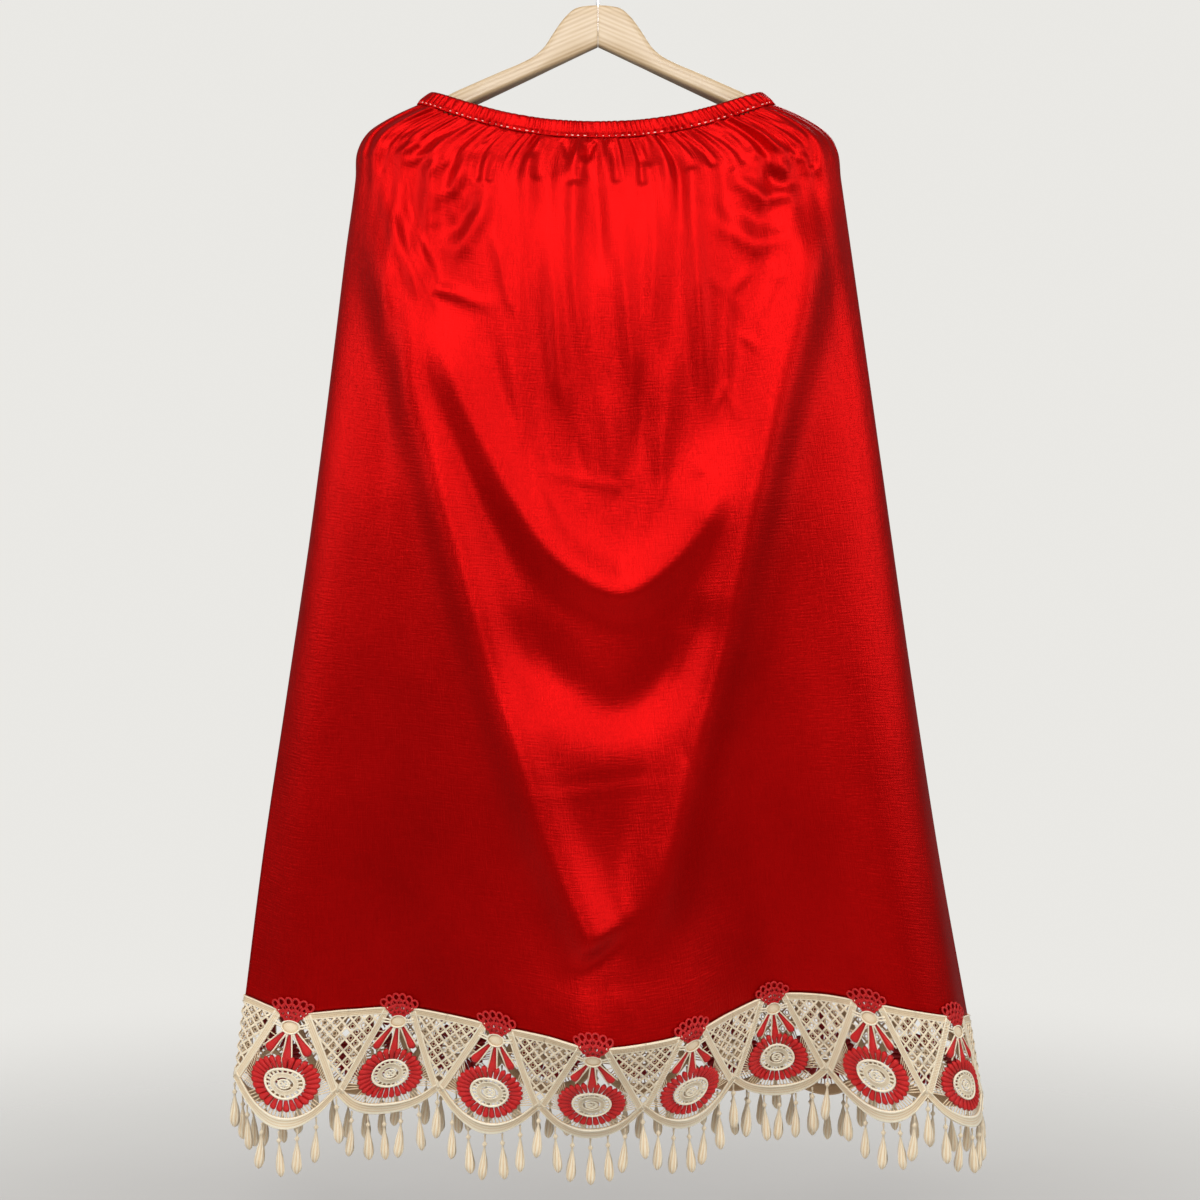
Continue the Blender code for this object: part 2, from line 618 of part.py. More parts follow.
def fringe(name, side, material, collection):
    """A narrow strip along the scallops with a teardrop fused to it at every station."""
    spacing = PITCH / DROPS_A_REPEAT
    count = REPEATS * DROPS_A_REPEAT
    centres = [n * spacing for n in (range(count) if side < 0 else range(1, count + 1))]
    centres = np.clip(centres, DROP_ROOT, REPEATS * PITCH - DROP_ROOT)
    stations = np.sort(np.concatenate([centres - DROP_ROOT, centres + DROP_ROOT]))
    stations = np.sort(np.concatenate([stations, [REPEATS * PITCH if side < 0 else 0]]))
    edge = scallop_down((stations % PITCH) - PITCH / 2) + FRINGE_GAP
    n = len(stations)
    seam, beside, next_drop = (0, 1, 2) if side < 0 else (n - 1, n - 2, n - 3)
    points = []
    for below, out in STRIP_SECTION:
        repeat = stations / PITCH
        base = lace_point(side, repeat, edge + below)
        normals = outward(lace_point, side, repeat, edge + below, *LACE_STEPS)
        set_seams(lace_point, side, repeat, edge + below, base, normals, (0, REPEATS), LACE_STEPS)
        line = base + normals * (LACE_OFF_SATIN + LACE * out)
        share = (stations[beside] - stations[seam]) / (stations[next_drop] - stations[seam])
        line[beside] = line[seam] * (1 - share) + line[next_drop] * share
        points.append(line)
    points = np.concatenate(points)
    faces = []
    first = 0 if side < 0 else 1
    drops = []
    for i in range(n - 1):
        a, b = i, i + 1
        faces += [(a, b, b + n, a + n), (b, a, a + 2 * n, b + 2 * n)]
        if (i - first) % 2 == 0:
            drops.append((a + n, b + n, b + 2 * n, a + 2 * n))
        else:
            faces.append((a + n, b + n, b + 2 * n, a + 2 * n))
    faces += [(0, n, 2 * n), (n - 1, 3 * n - 1, 2 * n - 1)]
    extra = []
    for d, root in enumerate(drops):
        corners = points[list(root)]
        centre = corners.mean(0)
        along = unit(corners[1] + corners[2] - corners[0] - corners[3])
        across_drop = unit(corners[0] + corners[1] - corners[2] - corners[3])
        across_sway, deep_sway = (angle * d for angle in SWAY_ANGLES)
        sway = np.array([math.sin(across_sway), SWAY_DEPTH * math.cos(deep_sway + side), 0]) * DROP_SWAY
        belly = centre + sway * SWAY_AT_BELLY - np.array([0, 0, DROP_BELLY_DOWN])
        start = 3 * n + len(extra)
        for p, q in ((-1, 1), (1, 1), (1, -1), (-1, -1)):
            extra.append(belly + (along * p + across_drop * q) * DROP_BELLY * math.sqrt(0.5))
        extra.append(centre + sway - np.array([0, 0, DROP_TIP_DOWN]))
        for k in range(4):
            m = (k + 1) % 4
            faces.append((root[k], root[m], start + m, start + k))
            faces.append((start + k, start + m, start + 4))
    return add_object(name, np.concatenate([points, extra]), faces, material, collection)


def hanger_arm(name, sign, material, collection):
    """Half of the wooden hanger: rounded sections along its slope, with half of the hook's bore."""
    turn = np.arange(ARM_SIDES) * 2 * math.pi / ARM_SIDES
    ring_y = np.sign(np.cos(turn)) * np.abs(np.cos(turn)) ** ARM_CORNER
    ring_z = np.sign(np.sin(turn)) * np.abs(np.sin(turn)) ** ARM_CORNER
    points = []
    for row in ARM:
        size = dict(zip(ARM_COLUMNS, row))
        x = max(size["x"], SEAM_GAP / MM / 2)
        z = (size["top"] + size["bottom"]) / 2 + (size["top"] - size["bottom"]) / 2 * ring_z
        points.append(np.stack([np.full(ARM_SIDES, sign * x), size["half_deep"] * ring_y, z], -1) * MM)
    points = np.concatenate(points)
    faces = []
    for i in range(len(ARM) - 1):
        for j in range(ARM_SIDES):
            k = (j + 1) % ARM_SIDES
            a, b = i * ARM_SIDES, (i + 1) * ARM_SIDES
            faces.append((a + j, b + j, b + k, a + k))
    last = (len(ARM) - 1) * ARM_SIDES
    faces += [tuple(range(ARM_SIDES)), tuple(range(last, last + ARM_SIDES))[::-1]]
    arm = add_object(name, points, faces, material, collection)
    cut = arm.modifiers.new("bore", "BOOLEAN")
    cut.operation = "DIFFERENCE"
    cut.solver = "EXACT"
    cut.object = bpy.data.objects["bore_cutter"]
    return arm


def bore_cutter(cutters):
    bottom = BORE_BOTTOM_Z - BORE_CLEARANCE
    bpy.ops.mesh.primitive_cylinder_add(
        vertices=BORE_SIDES,
        radius=WIRE_RADIUS + BORE_CLEARANCE,
        depth=BORE_CUTTER_TOP_Z - bottom,
        location=(0, 0, (BORE_CUTTER_TOP_Z + bottom) / 2),
    )
    cutter = bpy.context.object
    cutter.name = "bore_cutter"
    cutter.hide_render = True
    cutter.display_type = "WIRE"
    for old in list(cutter.users_collection):
        old.objects.unlink(cutter)
    cutters.objects.link(cutter)


def hanger_hook(material, collection):
    """Bent wire: a straight shank, a small bend to one side and a round hook over the rod."""
    radius = HOOK_RADIUS + WIRE_RADIUS
    centre = Vector((0, 0, -HOOK_RADIUS))
    first = centre + radius * Vector((math.cos(HOOK_FROM), 0, math.sin(HOOK_FROM)))
    bend = first.x / (1 - math.cos(HOOK_FROM))
    bend_z = first.z + bend * math.sin(HOOK_FROM)
    path = [Vector((0, 0, BORE_BOTTOM_Z)), Vector((0, 0, bend_z))]
    for i in range(1, ELBOW_STEPS):
        turn = math.pi + HOOK_FROM * i / ELBOW_STEPS
        path.append(Vector((bend + bend * math.cos(turn), 0, bend_z + bend * math.sin(turn))))
    for i in range(LOOP_STEPS + 1):
        turn = HOOK_FROM + (HOOK_TO - HOOK_FROM) * i / LOOP_STEPS
        path.append(centre + radius * Vector((math.cos(turn), 0, math.sin(turn))))
    curve = bpy.data.curves.new("hanger_hook", "CURVE")
    curve.dimensions = "3D"
    curve.bevel_depth = WIRE_RADIUS
    curve.bevel_resolution = 2
    curve.use_fill_caps = True
    spline = curve.splines.new("POLY")
    spline.points.add(len(path) - 1)
    for point, place in zip(spline.points, path):
        point.co = (*place, 1)
    curve.materials.append(material)
    hook = bpy.data.objects.new("hanger_hook", curve)
    collection.objects.link(hook)
    return hook


def build():
    clear_scene()
    parts = make_collection(COLLECTION)
    cutters = make_collection("cutters")
    satin = make_material("red_satin", (0.52, 0.0, 0.004), 0.32)
    cream = make_material("cream_thread", (0.80, 0.68, 0.50), 0.75)
    wood = make_material("pale_wood", (0.78, 0.62, 0.40), 0.5)
    steel = make_material("bright_steel", (0.72, 0.73, 0.75), 0.25, 1.0)
    bore_cutter(cutters)
    hanger_arm("hanger_arm_left", -1, wood, parts)
    hanger_arm("hanger_arm_right", 1, wood, parts)
    hanger_hook(steel, parts)
    waistband(satin, parts)
    skirt_panel("skirt_front", -1, FRONT_RINGS, FRONT_SPARSE, satin, parts)
    skirt_panel("skirt_back", 1, BACK_RINGS, BACK_SPARSE, satin, parts)
    lace_border("lace_front", -1, cream, parts)
    lace_border("lace_back", 1, cream, parts)
    fringe("fringe_front", -1, cream, parts)
    fringe("fringe_back", 1, cream, parts)


build()
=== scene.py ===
"""The looks of a flared red satin skirt with a scalloped lace border, on a wooden hanger.

Metres, +Z up, front of the skirt towards -Y. The origin is the inside top of the hook.
The skirt's form repeats the formulas of its solids, on finer grids and with creases added.
"""

import math

import bpy
import numpy as np
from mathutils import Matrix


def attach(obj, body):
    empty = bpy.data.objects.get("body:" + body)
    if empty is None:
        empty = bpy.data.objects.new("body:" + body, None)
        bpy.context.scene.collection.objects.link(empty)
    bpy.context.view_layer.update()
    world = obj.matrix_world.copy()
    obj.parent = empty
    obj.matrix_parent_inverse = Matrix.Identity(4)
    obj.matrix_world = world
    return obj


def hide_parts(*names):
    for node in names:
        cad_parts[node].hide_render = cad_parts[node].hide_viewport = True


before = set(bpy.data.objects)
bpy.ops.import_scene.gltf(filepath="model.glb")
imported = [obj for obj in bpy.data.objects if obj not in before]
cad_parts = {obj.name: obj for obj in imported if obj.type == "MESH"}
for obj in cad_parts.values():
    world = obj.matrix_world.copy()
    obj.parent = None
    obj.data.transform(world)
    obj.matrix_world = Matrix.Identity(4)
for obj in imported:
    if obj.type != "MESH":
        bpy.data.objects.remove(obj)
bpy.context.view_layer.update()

MM = 0.001
TURN = 2 * math.pi

# Cloth
SHELL = 1.0 * MM
SEAM_GAP = 0.3 * MM
LACE = 1.4 * MM
LACE_OFF_SATIN = 0.8 * MM

# Waistband
WAIST_CORNER_Z = -156 * MM
WAIST_DIP = 39 * MM
WAIST_DIP_POWER = 2.2
BAND_HEIGHT = 17 * MM
BAND_LEAN = 12.5 * MM
BAND_HALF = 170 * MM
BAND_BULGE = 1.7 * MM
BAND_GATHERS = 126
BAND_RIB = 1.9 * MM
BAND_INSIDE = 1.6 * MM
BAND_SIDE = 330 * MM
BAND_FULLNESS = 1.6
STITCH_LEVEL = 0.16
STITCH_HALF = 0.3
STITCH_RADIUS = 0.5 * MM

# Skirt panels
HEM_LEVEL = -1000 * MM
SATIN_LENGTH = WAIST_CORNER_Z - HEM_LEVEL
SIDE_TURN = 9
GATHERS_A_SIDE = 24
GATHER_HEIGHT = 3.4 * MM
GATHER_FADE = 78 * MM
FRONT_GRID = (236, 204)
BACK_GRID = (200, 170)

# Sections of the skirt, in millimetres below the waistband's corner
SECTION_COLUMNS = ("down", "left", "right", "front", "back", "squareness")
SECTIONS = (
    (0, 170.5, 167.0, 30, 30, 5.5),
    (8, 188, 186, 33, 33, 6.0),
    (16, 203, 201, 36, 36, 6.0),
    (24, 215, 213, 39, 39, 6.0),
    (32, 222, 221, 42, 42, 5.6),
    (42, 227, 226, 45, 45, 5.0),
    (70, 229.5, 230, 49, 50, 4.0),
    (137, 238.5, 239.5, 54, 56, 3.2),
    (232, 250, 253, 60, 62, 2.8),
    (374, 268, 273, 68, 70, 2.6),
    (563, 295.5, 301, 78, 80, 2.5),
    (705, 316.5, 324, 86, 88, 2.4),
    (844, 334, 350, 92, 94, 2.4),
)
WAVES_FROM = 0.42
WAVES_POWER = 1.3

# Lace edge, a row at each junction and rosette: the upper edge and the scallops' level, in millimetres
HEM_COLUMNS = ("repeat", "x", "y", "z", "low_x", "low_y", "low_z")
FRONT_HEM = (
    (0, -334, 0, -998, -347, 0, -1104),
    (0.5, -285, -24, -1009, -296, -32, -1116),
    (1, -231, -30, -1005, -248, -24, -1114),
    (1.5, -182, -42, -1000, -200, -16, -1105),
    (2, -137, -60, -1003, -151, -34, -1104),
    (2.5, -90, -80, -1009, -103, -54, -1113),
    (3, -46, -100, -1014, -56, -60, -1112),
    (3.5, -4, -112, -1022, -7, -56, -1116),
    (4, 42, -100, -1021, 40, -50, -1114),
    (4.5, 85, -80, -1015, 84, -34, -1112),
    (5, 122, -50, -1003, 127, -12, -1099),
    (5.5, 162, -26, -992, 172, 6, -1093),
    (6, 205, -32, -990, 220, -6, -1095),
    (6.5, 248, -54, -993, 264, -44, -1105),
    (7, 290, -62, -1000, 306, -52, -1108),
    (7.5, 330, -40, -1010, 348, -24, -1116),
    (8, 350, 0, -1017, 367, 0, -1121),
)
BACK_HEM = (
    (0, -334, 0, -998, -347, 0, -1104),
    (0.5, -311, 42, -1004, -321, 44, -1111),
    (1, -270, 66, -1008, -278, 66, -1115),
    (1.5, -224, 82, -1006, -230, 78, -1113),
    (2, -178, 74, -1001, -184, 68, -1108),
    (2.5, -136, 96, -1004, -140, 86, -1110),
    (3, -94, 122, -1012, -97, 108, -1117),
    (3.5, -46, 128, -1016, -48, 112, -1121),
    (4, -2, 108, -1012, -2, 92, -1118),
    (4.5, 40, 84, -1005, 41, 72, -1111),
    (5, 86, 76, -1002, 88, 68, -1108),
    (5.5, 130, 96, -1006, 134, 88, -1112),
    (6, 174, 116, -1012, 179, 106, -1118),
    (6.5, 222, 108, -1013, 229, 100, -1119),
    (7, 268, 92, -1010, 276, 88, -1116),
    (7.5, 316, 66, -1011, 327, 62, -1117),
    (8, 350, 0, -1017, 367, 0, -1121),
)
REPEATS = 8
PITCH = 97.0
LACE_LEVEL = 107.0
SATIN_UNDER_LACE = 1.0

# Drapes and creases: height and width in millimetres, and a line of x, z in millimetres
FRONT_FOLDS = (
    (15, 19, ((-212, -235), (-195, -330), (-170, -430), (-146, -521), (-121, -609), (-96, -692),
              (-69, -776), (-45, -846), (-12, -915), (8, -946))),
    (15, 19, ((212, -235), (194, -330), (158, -472), (132, -580), (109, -685), (87, -780),
              (69, -846), (46, -909), (10, -946))),
    (16, 24, ((-169, -330), (-134, -417), (-102, -487), (-76, -535), (-36, -588), (15, -618),
              (50, -605), (83, -572), (104, -531), (124, -461))),
    (-9, 22, ((-89, -624), (-43, -690), (-5, -722), (25, -725), (55, -705), (87, -660), (104, -615))),
    (6, 16, ((-62, -718), (-24, -752), (18, -766), (58, -746), (92, -702))),
)
BACK_FOLDS = (
    (12, 20, ((210, -240), (190, -340), (160, -450), (124, -560), (90, -670), (58, -770))),
    (12, 20, ((-210, -240), (-186, -350), (-150, -470), (-116, -590), (-84, -700), (-60, -780))),
    (13, 26, ((-150, -340), (-108, -420), (-56, -478), (4, -500), (62, -480), (112, -424), (150, -340))),
)
FRONT_SWELLS = (
    (12, 105, ((-70, -335), (0, -345), (70, -335))),
    (-6, 46, ((-62, -686), (0, -704), (52, -698))),
    (-10, 85, ((-20, -880), (10, -890), (36, -880))),
)
FRONT_CREASES = (
    (7, 8, ((-214, -206), (-190, -275), (-175, -316), (-159, -348), (-141, -394))),
    (5, 6, ((-202, -213), (-178, -266), (-159, -314), (-148, -339), (-131, -344), (-108, -353),
            (-78, -356))),
    (-4, 8, ((-186, -236), (-168, -280), (-150, -322))),
    (3.0, 4, ((-159, -173), (-185, -185), (-207, -200))),
    (2.6, 4, ((-150, -177), (-177, -194), (-200, -205))),
    (3.0, 4, ((-139, -182), (-163, -201), (-189, -212), (-200, -214))),
    (2.6, 4, ((-134, -187), (-152, -209), (-172, -218), (-192, -215))),
    (3.0, 5, ((-125, -192), (-138, -217), (-154, -229), (-165, -231))),
    (4.5, 7, ((-114, -206), (-134, -246), (-156, -258))),
    (5.5, 9, ((-96, -226), (-108, -270), (-124, -300), (-144, -314))),
    (-4, 9, ((-150, -276), (-128, -282), (-112, -250))),
    (3.0, 4, ((159, -174), (185, -187), (208, -203))),
    (2.6, 4, ((150, -178), (176, -196), (205, -209))),
    (3.0, 4, ((139, -183), (162, -203), (185, -214), (209, -214))),
    (2.8, 5, ((130, -187), (148, -212), (171, -226), (188, -222))),
    (3.6, 7, ((114, -212), (130, -240), (153, -254), (176, -249), (190, -226))),
    (-4, 7, ((148, -226), (171, -240), (184, -230))),
    (3.8, 10, ((93, -249), (116, -281), (144, -299), (171, -290), (185, -258))),
    (-3, 9, ((120, -256), (146, -274), (166, -270))),
    (1.7, 5, ((161, -254), (163, -313), (164, -329), (150, -363), (146, -395))),
    (1.4, 5, ((156, -315), (164, -329), (178, -324))),
    (1.7, 5, ((80, -349), (103, -330), (119, -344), (118, -400), (117, -460))),
    (1.4, 5, ((119, -344), (141, -320))),
    (-1.4, 6, ((126, -350), (128, -400))),
    (1.2, 4, ((122, -379), (136, -386), (150, -398))),
    (1.2, 4, ((104, -456), (116, -430), (130, -462))),
    (2.6, 9, ((-92, -340), (-84, -400), (-66, -470), (-48, -520))),
    (2.4, 10, ((6, -420), (12, -480), (16, -540))),
    (2.6, 10, ((60, -390), (62, -450), (54, -520))),
    (-2.4, 9, ((-24, -420), (-20, -480), (-12, -540))),
    (-2.4, 9, ((36, -400), (40, -460), (36, -520))),
    (2.0, 4, ((-108, -263), (-90, -313), (-83, -350), (-70, -370))),
    (3.0, 8, ((-90, -212), (-85, -276), (-92, -346))),
    (4.0, 8, ((-58, -212), (-46, -304), (-35, -423), (-8, -510))),
    (3.0, 7, ((-26, -212), (-21, -331), (-8, -441))),
    (4.5, 9, ((18, -212), (22, -313), (31, -405), (35, -487))),
    (3.4, 7, ((52, -212), (52, -304), (47, -396))),
    (4.4, 9, ((84, -212), (86, -286), (93, -377), (98, -470))),
    (-5.5, 7, ((1, -206), (2, -276), (6, -345))),
    (-3.0, 8, ((-70, -240), (-66, -330), (-58, -420))),
    (-3.0, 8, ((66, -230), (70, -330), (66, -430))),
    (0.8, 4, ((-76, -506), (-39, -509), (-13, -516), (22, -522), (44, -500))),
    (0.7, 4, ((-26, -487), (-13, -516), (2, -500))),
    (-0.8, 5, ((14, -548), (22, -522), (8, -496))),
    (0.9, 5, ((80, -492), (94, -505), (110, -520))),
    (0.9, 5, ((99, -476), (94, -505), (76, -516))),
    (-0.6, 5, ((94, -505), (126, -490))),
    (2.2, 6, ((-60, -470), (-52, -530), (-30, -580))),
    (2.2, 7, ((60, -450), (58, -520), (40, -580))),
    (0.5, 4, ((-91, -797), (-60, -802), (-20, -799), (30, -793), (60, -790), (98, -789))),
    (-0.4, 5, ((-80, -789), (-30, -791), (30, -785), (88, -781))),
    (1.0, 5, ((84, -757), (98, -786), (104, -812))),
    (-1.0, 5, ((72, -749), (86, -776), (90, -800))),
    (1.6, 6, ((14, -966), (22, -990), (26, -1010))),
)
BACK_CREASES = (
    (2.6, 6, ((205, -200), (188, -250), (168, -310), (150, -350))),
    (2.4, 5, ((190, -196), (168, -240), (140, -296))),
    (2.6, 6, ((-205, -200), (-186, -256), (-170, -312), (-158, -356))),
    (2.4, 5, ((-188, -196), (-170, -236), (-140, -292))),
    (1.8, 4, ((-98, -430), (-40, -438), (16, -431), (70, -440))),
    (1.6, 4, ((16, -431), (30, -396), (52, -372))),
    (-1.6, 4, ((16, -431), (-8, -466), (-14, -500))),
    (1.2, 4, ((-84, -706), (-30, -712), (40, -704), (96, -710))),
    (1.6, 5, ((-60, -790), (-40, -850), (-34, -900))),
    (1.6, 5, ((54, -780), (46, -850), (30, -912))),
    (2.0, 8, ((-30, -300), (-24, -400), (-10, -480))),
    (2.0, 8, ((48, -310), (44, -410), (26, -490))),
)
CREASE_SPREAD = 1.0

# The same folds as draped, a row each: height, width to the left and to the right of a line that runs
# down, or below and above one that runs across, and the shares of its length to rise and to sink over
FRONT_DRAPES = (
    (20, 22, 27, 0.12, 0.08),
    (22, 29, 24, 0.12, 0.24),
    (16, 19, 27, 0.12, 0.16),
    (-6, 24, 24, 0.15, 0.15),
    (1.5, 24, 36, 0.15, 0.15),
)
BACK_DRAPES = (
    (12, 42, 22, 0.12, 0.30),
    (12, 22, 42, 0.12, 0.30),
    (13, 22, 30, 0.14, 0.14),
)
PUCKER_FADE = 26 * MM
EDGE_FADE = 0.06

# Long folds below the waistband: how many a side, phase, then height, fade and start in millimetres
LONG_FOLDS = (
    (19.0, 0.35, 2.2, 120, 20),
    (12.5, 0.60, 2.9, 220, 40),
)

# Tucks just below the waistband, drawn at random between these sizes in millimetres
TUCKS = 27
TUCK_SEED = 8
TUCK_ARC = 400
TUCK_SIZES = {
    "top": (1, 9), "length": (8, 52), "lean": (-9, 9), "depth": (2.2, 5.2), "width": (2.4, 4.4),
}
TUCK_RIM = 0.6

# Lace repeat, in millimetres from the middle of its rosette, down from the upper edge
TRELLIS_HALF = 36.0
JUNCTION_DOWN = 80.0
SCALLOP_ACROSS = (-PITCH / 2, -32.3, -16.2, 0, 16.2, 32.3, PITCH / 2)
SCALLOP_DOWN = (JUNCTION_DOWN, 96.0, 104.5, LACE_LEVEL, 104.5, 96.0, JUNCTION_DOWN)
ROSETTE_DOWN = 66.0
ROSETTE_OUT = (32.0, 25.5)
ROSETTE_IN = (18.8, 14.4)
ROSETTE_PETALS = 29
EYELETS = 20
KNOB_DOWN = 14.0
KNOB_HALF = (8.6, 6.4)
KNOB_RIM = 0.93
LATTICE_WIDE = 10.0
LATTICE_TALL = 11.0
LATTICE_TOP = 5.0
LATTICE_PAIR = 0.48
MESH_RING = (1.8, 2.0)
BRAID = 7.0
LADDER_FROM = 0.97
TOP_BRAID_DOWN = 3.4
SCALLOP_BRAID_UP = 5.2
CROWN_FOOT_DOWN = 17.0
CROWN_COLUMNS = ("radius", "angles", "size")
CROWN_LOOPS = (
    (26.0, (-36, -22, -7, 7, 22, 36), 3.2),
    (21.0, (-32, -16, 0, 16, 32), 3.0),
    (16.5, (-30, -10, 10, 30), 2.8),
    (12.0, (-22, 0, 22), 2.5),
)
CROWN_STITCH_RADII = (10, 14, 18.5)
PETAL_FEET = ((-4.6, 18.5), (0.0, 19.5), (4.6, 18.5))
PETAL_TIPS = ((-19.5, 40.0), (0.0, 46.0), (19.5, 40.0))
KNOB_BAR_FROM = ((7.5, 12.6), (7.5, 15.0))
KNOB_BAR_TO = ((16, 10.4), (16.5, 13.4))

# Half widths of padded petals: share of the length and millimetres
PETAL_WIDTHS = ((0, 1.0), (0.15, 1.7), (0.5, 2.6), (0.78, 3.9), (0.92, 3.4), (1, 1.2))
ROSETTE_WIDTHS = ((0, 1.0), (0.1, 1.7), (0.5, 2.5), (0.8, 3.0), (0.93, 2.5), (1, 1.1))

# Round cords of the lace: radius in millimetres and sides
CORDS = {
    "trellis": (0.62, 5), "mesh_ring": (0.5, 4), "ladder": (0.55, 4), "eyelet_rim": (1.15, 6),
    "eyelet_bar": (1.05, 4), "button": (0.9, 5), "button_eye": (0.7, 5), "button_bar": (0.6, 4),
    "petal_side": (0.75, 5), "petal_bar": (0.5, 4), "knob_rim": (0.85, 6), "knob_bar": (0.95, 5),
    "crown_loop": (1.1, 6), "crown_thread": (0.8, 5), "crown_stitch": (0.85, 5),
}
# Height in millimetres over which the lace's painted shade runs from darkest to lightest
RISE_FULL = 2.4

# Drops
DROPS_A_REPEAT = 6
FRINGE_STRIP = 2.4
FRINGE_GAP = 0.8
DROP_ROOT = 1.3
DROP_SWAY = 3.0 * MM
DROP_BELLY_FROM = 9.0
DROP_RIBS = 7
DROP_RIB = 0.14
DROP_COLUMNS = ("down", "radius")
DROP = (
    (-1.5, 0.9), (0, 1.0), (2.5, 0.75), (5.0, 0.8), (6.2, 1.7), (7.4, 2.4), (8.6, 1.8), (9.6, 0.9),
    (11, 0.95), (14, 1.5), (18, 2.3), (23, 3.3), (28, 3.9), (32, 4.2), (35.5, 3.9), (38, 3.0),
    (39.8, 1.9), (41, 0.3),
)

# Hanger
ARM_COLUMNS = ("x", "top", "bottom", "half_deep")
ARM = (
    (0, -62, -100.5, 6.0),
    (12, -62.8, -106.1, 6.2),
    (23, -66, -111.3, 6.6),
    (33, -75.6, -116, 7.0),
    (43, -90, -120.6, 7.4),
    (50, -101, -123.9, 7.7),
    (57.5, -108.5, -127.4, 8.0),
    (72, -117, -134.2, 8.6),
    (90, -124.8, -142.6, 9.4),
    (115, -136, -154.3, 10.6),
    (142, -148.4, -167.0, 10.6),
    (155, -155.6, -172.6, 9.8),
    (169.5, -161.6, -178.6, 9.2),
    (188, -169.8, -186.4, 9.2),
    (203, -176.8, -192.6, 9.0),
    (213, -183.6, -196.6, 7.6),
    (219, -188.6, -198.0, 5.2),
    (221.5, -191.5, -196.6, 2.6),
)
ARM_CORNER = 0.42
ARM_SLOPE = 0.45
WIRE_RADIUS = 1.75 * MM
HOOK_RADIUS = 18 * MM
HOOK_FROM = math.radians(-70)
HOOK_TO = math.radians(192)
BORE_BOTTOM_Z = -90 * MM

# Studio
FLOOR_Z = -1.5
FLOOR_FADE = (0.4, 2.6)
BACKDROP = (0.82, 0.81, 0.78)
WORLD_LIGHT = 0.16
LIGHT_COLUMNS = ("name", "at", "aim", "wide", "tall", "watts")
LIGHTS = (
    ("overhead", (-0.1, -1.05, 0.85), (0, 0, -0.35), 0.9, 0.6, 11),
    ("front", (0, -2.25, 0.25), (0, 0, -0.55), 0.3, 1.2, 18),
    ("front_left", (-1.45, -1.85, 0.95), (0, 0, -0.55), 0.5, 0.9, 17),
    ("front_right", (1.45, -1.85, 0.95), (0, 0, -0.55), 0.5, 0.9, 17),
    ("left", (-2.4, -0.9, 0.2), (0, 0, -0.5), 1.3, 1.3, 20),
    ("right", (2.4, -0.9, 0.2), (0, 0, -0.5), 1.3, 1.3, 20),
    ("behind", (0.4, 2.4, 1.2), (0, 0, -0.6), 1.8, 1.0, 20),
)

# Photograph's view
CAMERA_AT = (0.0019, -1.8, -0.6245)
FRAME_HALF = 0.5682
SENSOR = 36.0


def smooth(at, places, values):
    """Reads a table's column at these places: a cubic between rows, with each row's mean slope."""
    places = np.asarray(places, float)
    values = np.asarray(values, float)
    slopes = np.gradient(values, places)
    row = np.clip(np.searchsorted(places, at, side="right") - 1, 0, len(places) - 2)
    step = places[row + 1] - places[row]
    t = np.clip((at - places[row]) / step, 0, 1)
    rise = t * t * (3 - 2 * t)
    return (
        values[row] * (1 - rise)
        + values[row + 1] * rise
        + step * (t * (1 - t) ** 2 * slopes[row] - t * t * (1 - t) * slopes[row + 1])
    )


def column(table, names, name):
    """A table's column by its name."""
    return [row[names.index(name)] for row in table]


def section(name, down):
    """One size of the skirt's section at these distances below the waistband's corner."""
    return smooth(down / MM, column(SECTIONS, SECTION_COLUMNS, "down"),
                  column(SECTIONS, SECTION_COLUMNS, name)) * MM


def hem(side, name, repeat):
    """One column of the lace edge's table at these repeats from the left seam."""
    rows = FRONT_HEM if side < 0 else BACK_HEM
    return smooth(repeat, column(rows, HEM_COLUMNS, "repeat"), column(rows, HEM_COLUMNS, name)) * MM


def across(share):
    """Place across the half width, -1 to 1, of a column: even steps that slow down as the side turns."""
    q = 2 * share - 1
    a = np.abs(q)
    return np.sign(q) * (a + (a - a**SIDE_TURN) / (SIDE_TURN - 1))


def waist_z(x_share):
    """Height of the waistband's lower edge: highest where it lies on the hanger, dipping between."""
    return WAIST_CORNER_Z - WAIST_DIP * (1 - np.abs(x_share) ** WAIST_DIP_POWER)


def ring_point(side, share, down):
    """The plain section without folds: a rounded box, flat in front, that narrows to its sides."""
    s = across(share)
    half = np.where(s < 0, section("left", down), section("right", down))
    depth = section("front" if side < 0 else "back", down)
    square = section("squareness", down) / MM
    y = side * depth * np.sqrt(np.maximum(1 - np.abs(s) ** square, 0))
    return s * half, y


def eased(t):
    """Smooth step of a share from 0 to 1."""
    t = np.clip(t, 0, 1)
    return t * t * (3 - 2 * t)


def beside_line(x, z, line):
    """Where points seen from the front lie beside a line of places: how far off it, the share of its
    legs run at the nearest place, and whether they lie to the right of a line that runs down."""
    off, along, right = np.full(x.shape, np.inf), np.zeros_like(x), np.zeros(x.shape, bool)
    for k, (a, b) in enumerate(zip(line[:-1], line[1:])):
        run = b - a
        t = np.clip(((x - a[0]) * run[0] + (z - a[1]) * run[1]) / run.dot(run), 0, 1)
        out_x, out_z = x - a[0] - t * run[0], z - a[1] - t * run[1]
        far = np.hypot(out_x, out_z)
        closer = far < off
        off = np.where(closer, far, off)
        along = np.where(closer, (k + t) / (len(line) - 1), along)
        right = np.where(closer, run[0] * out_z - run[1] * out_x > 0, right)
    return off, along, right


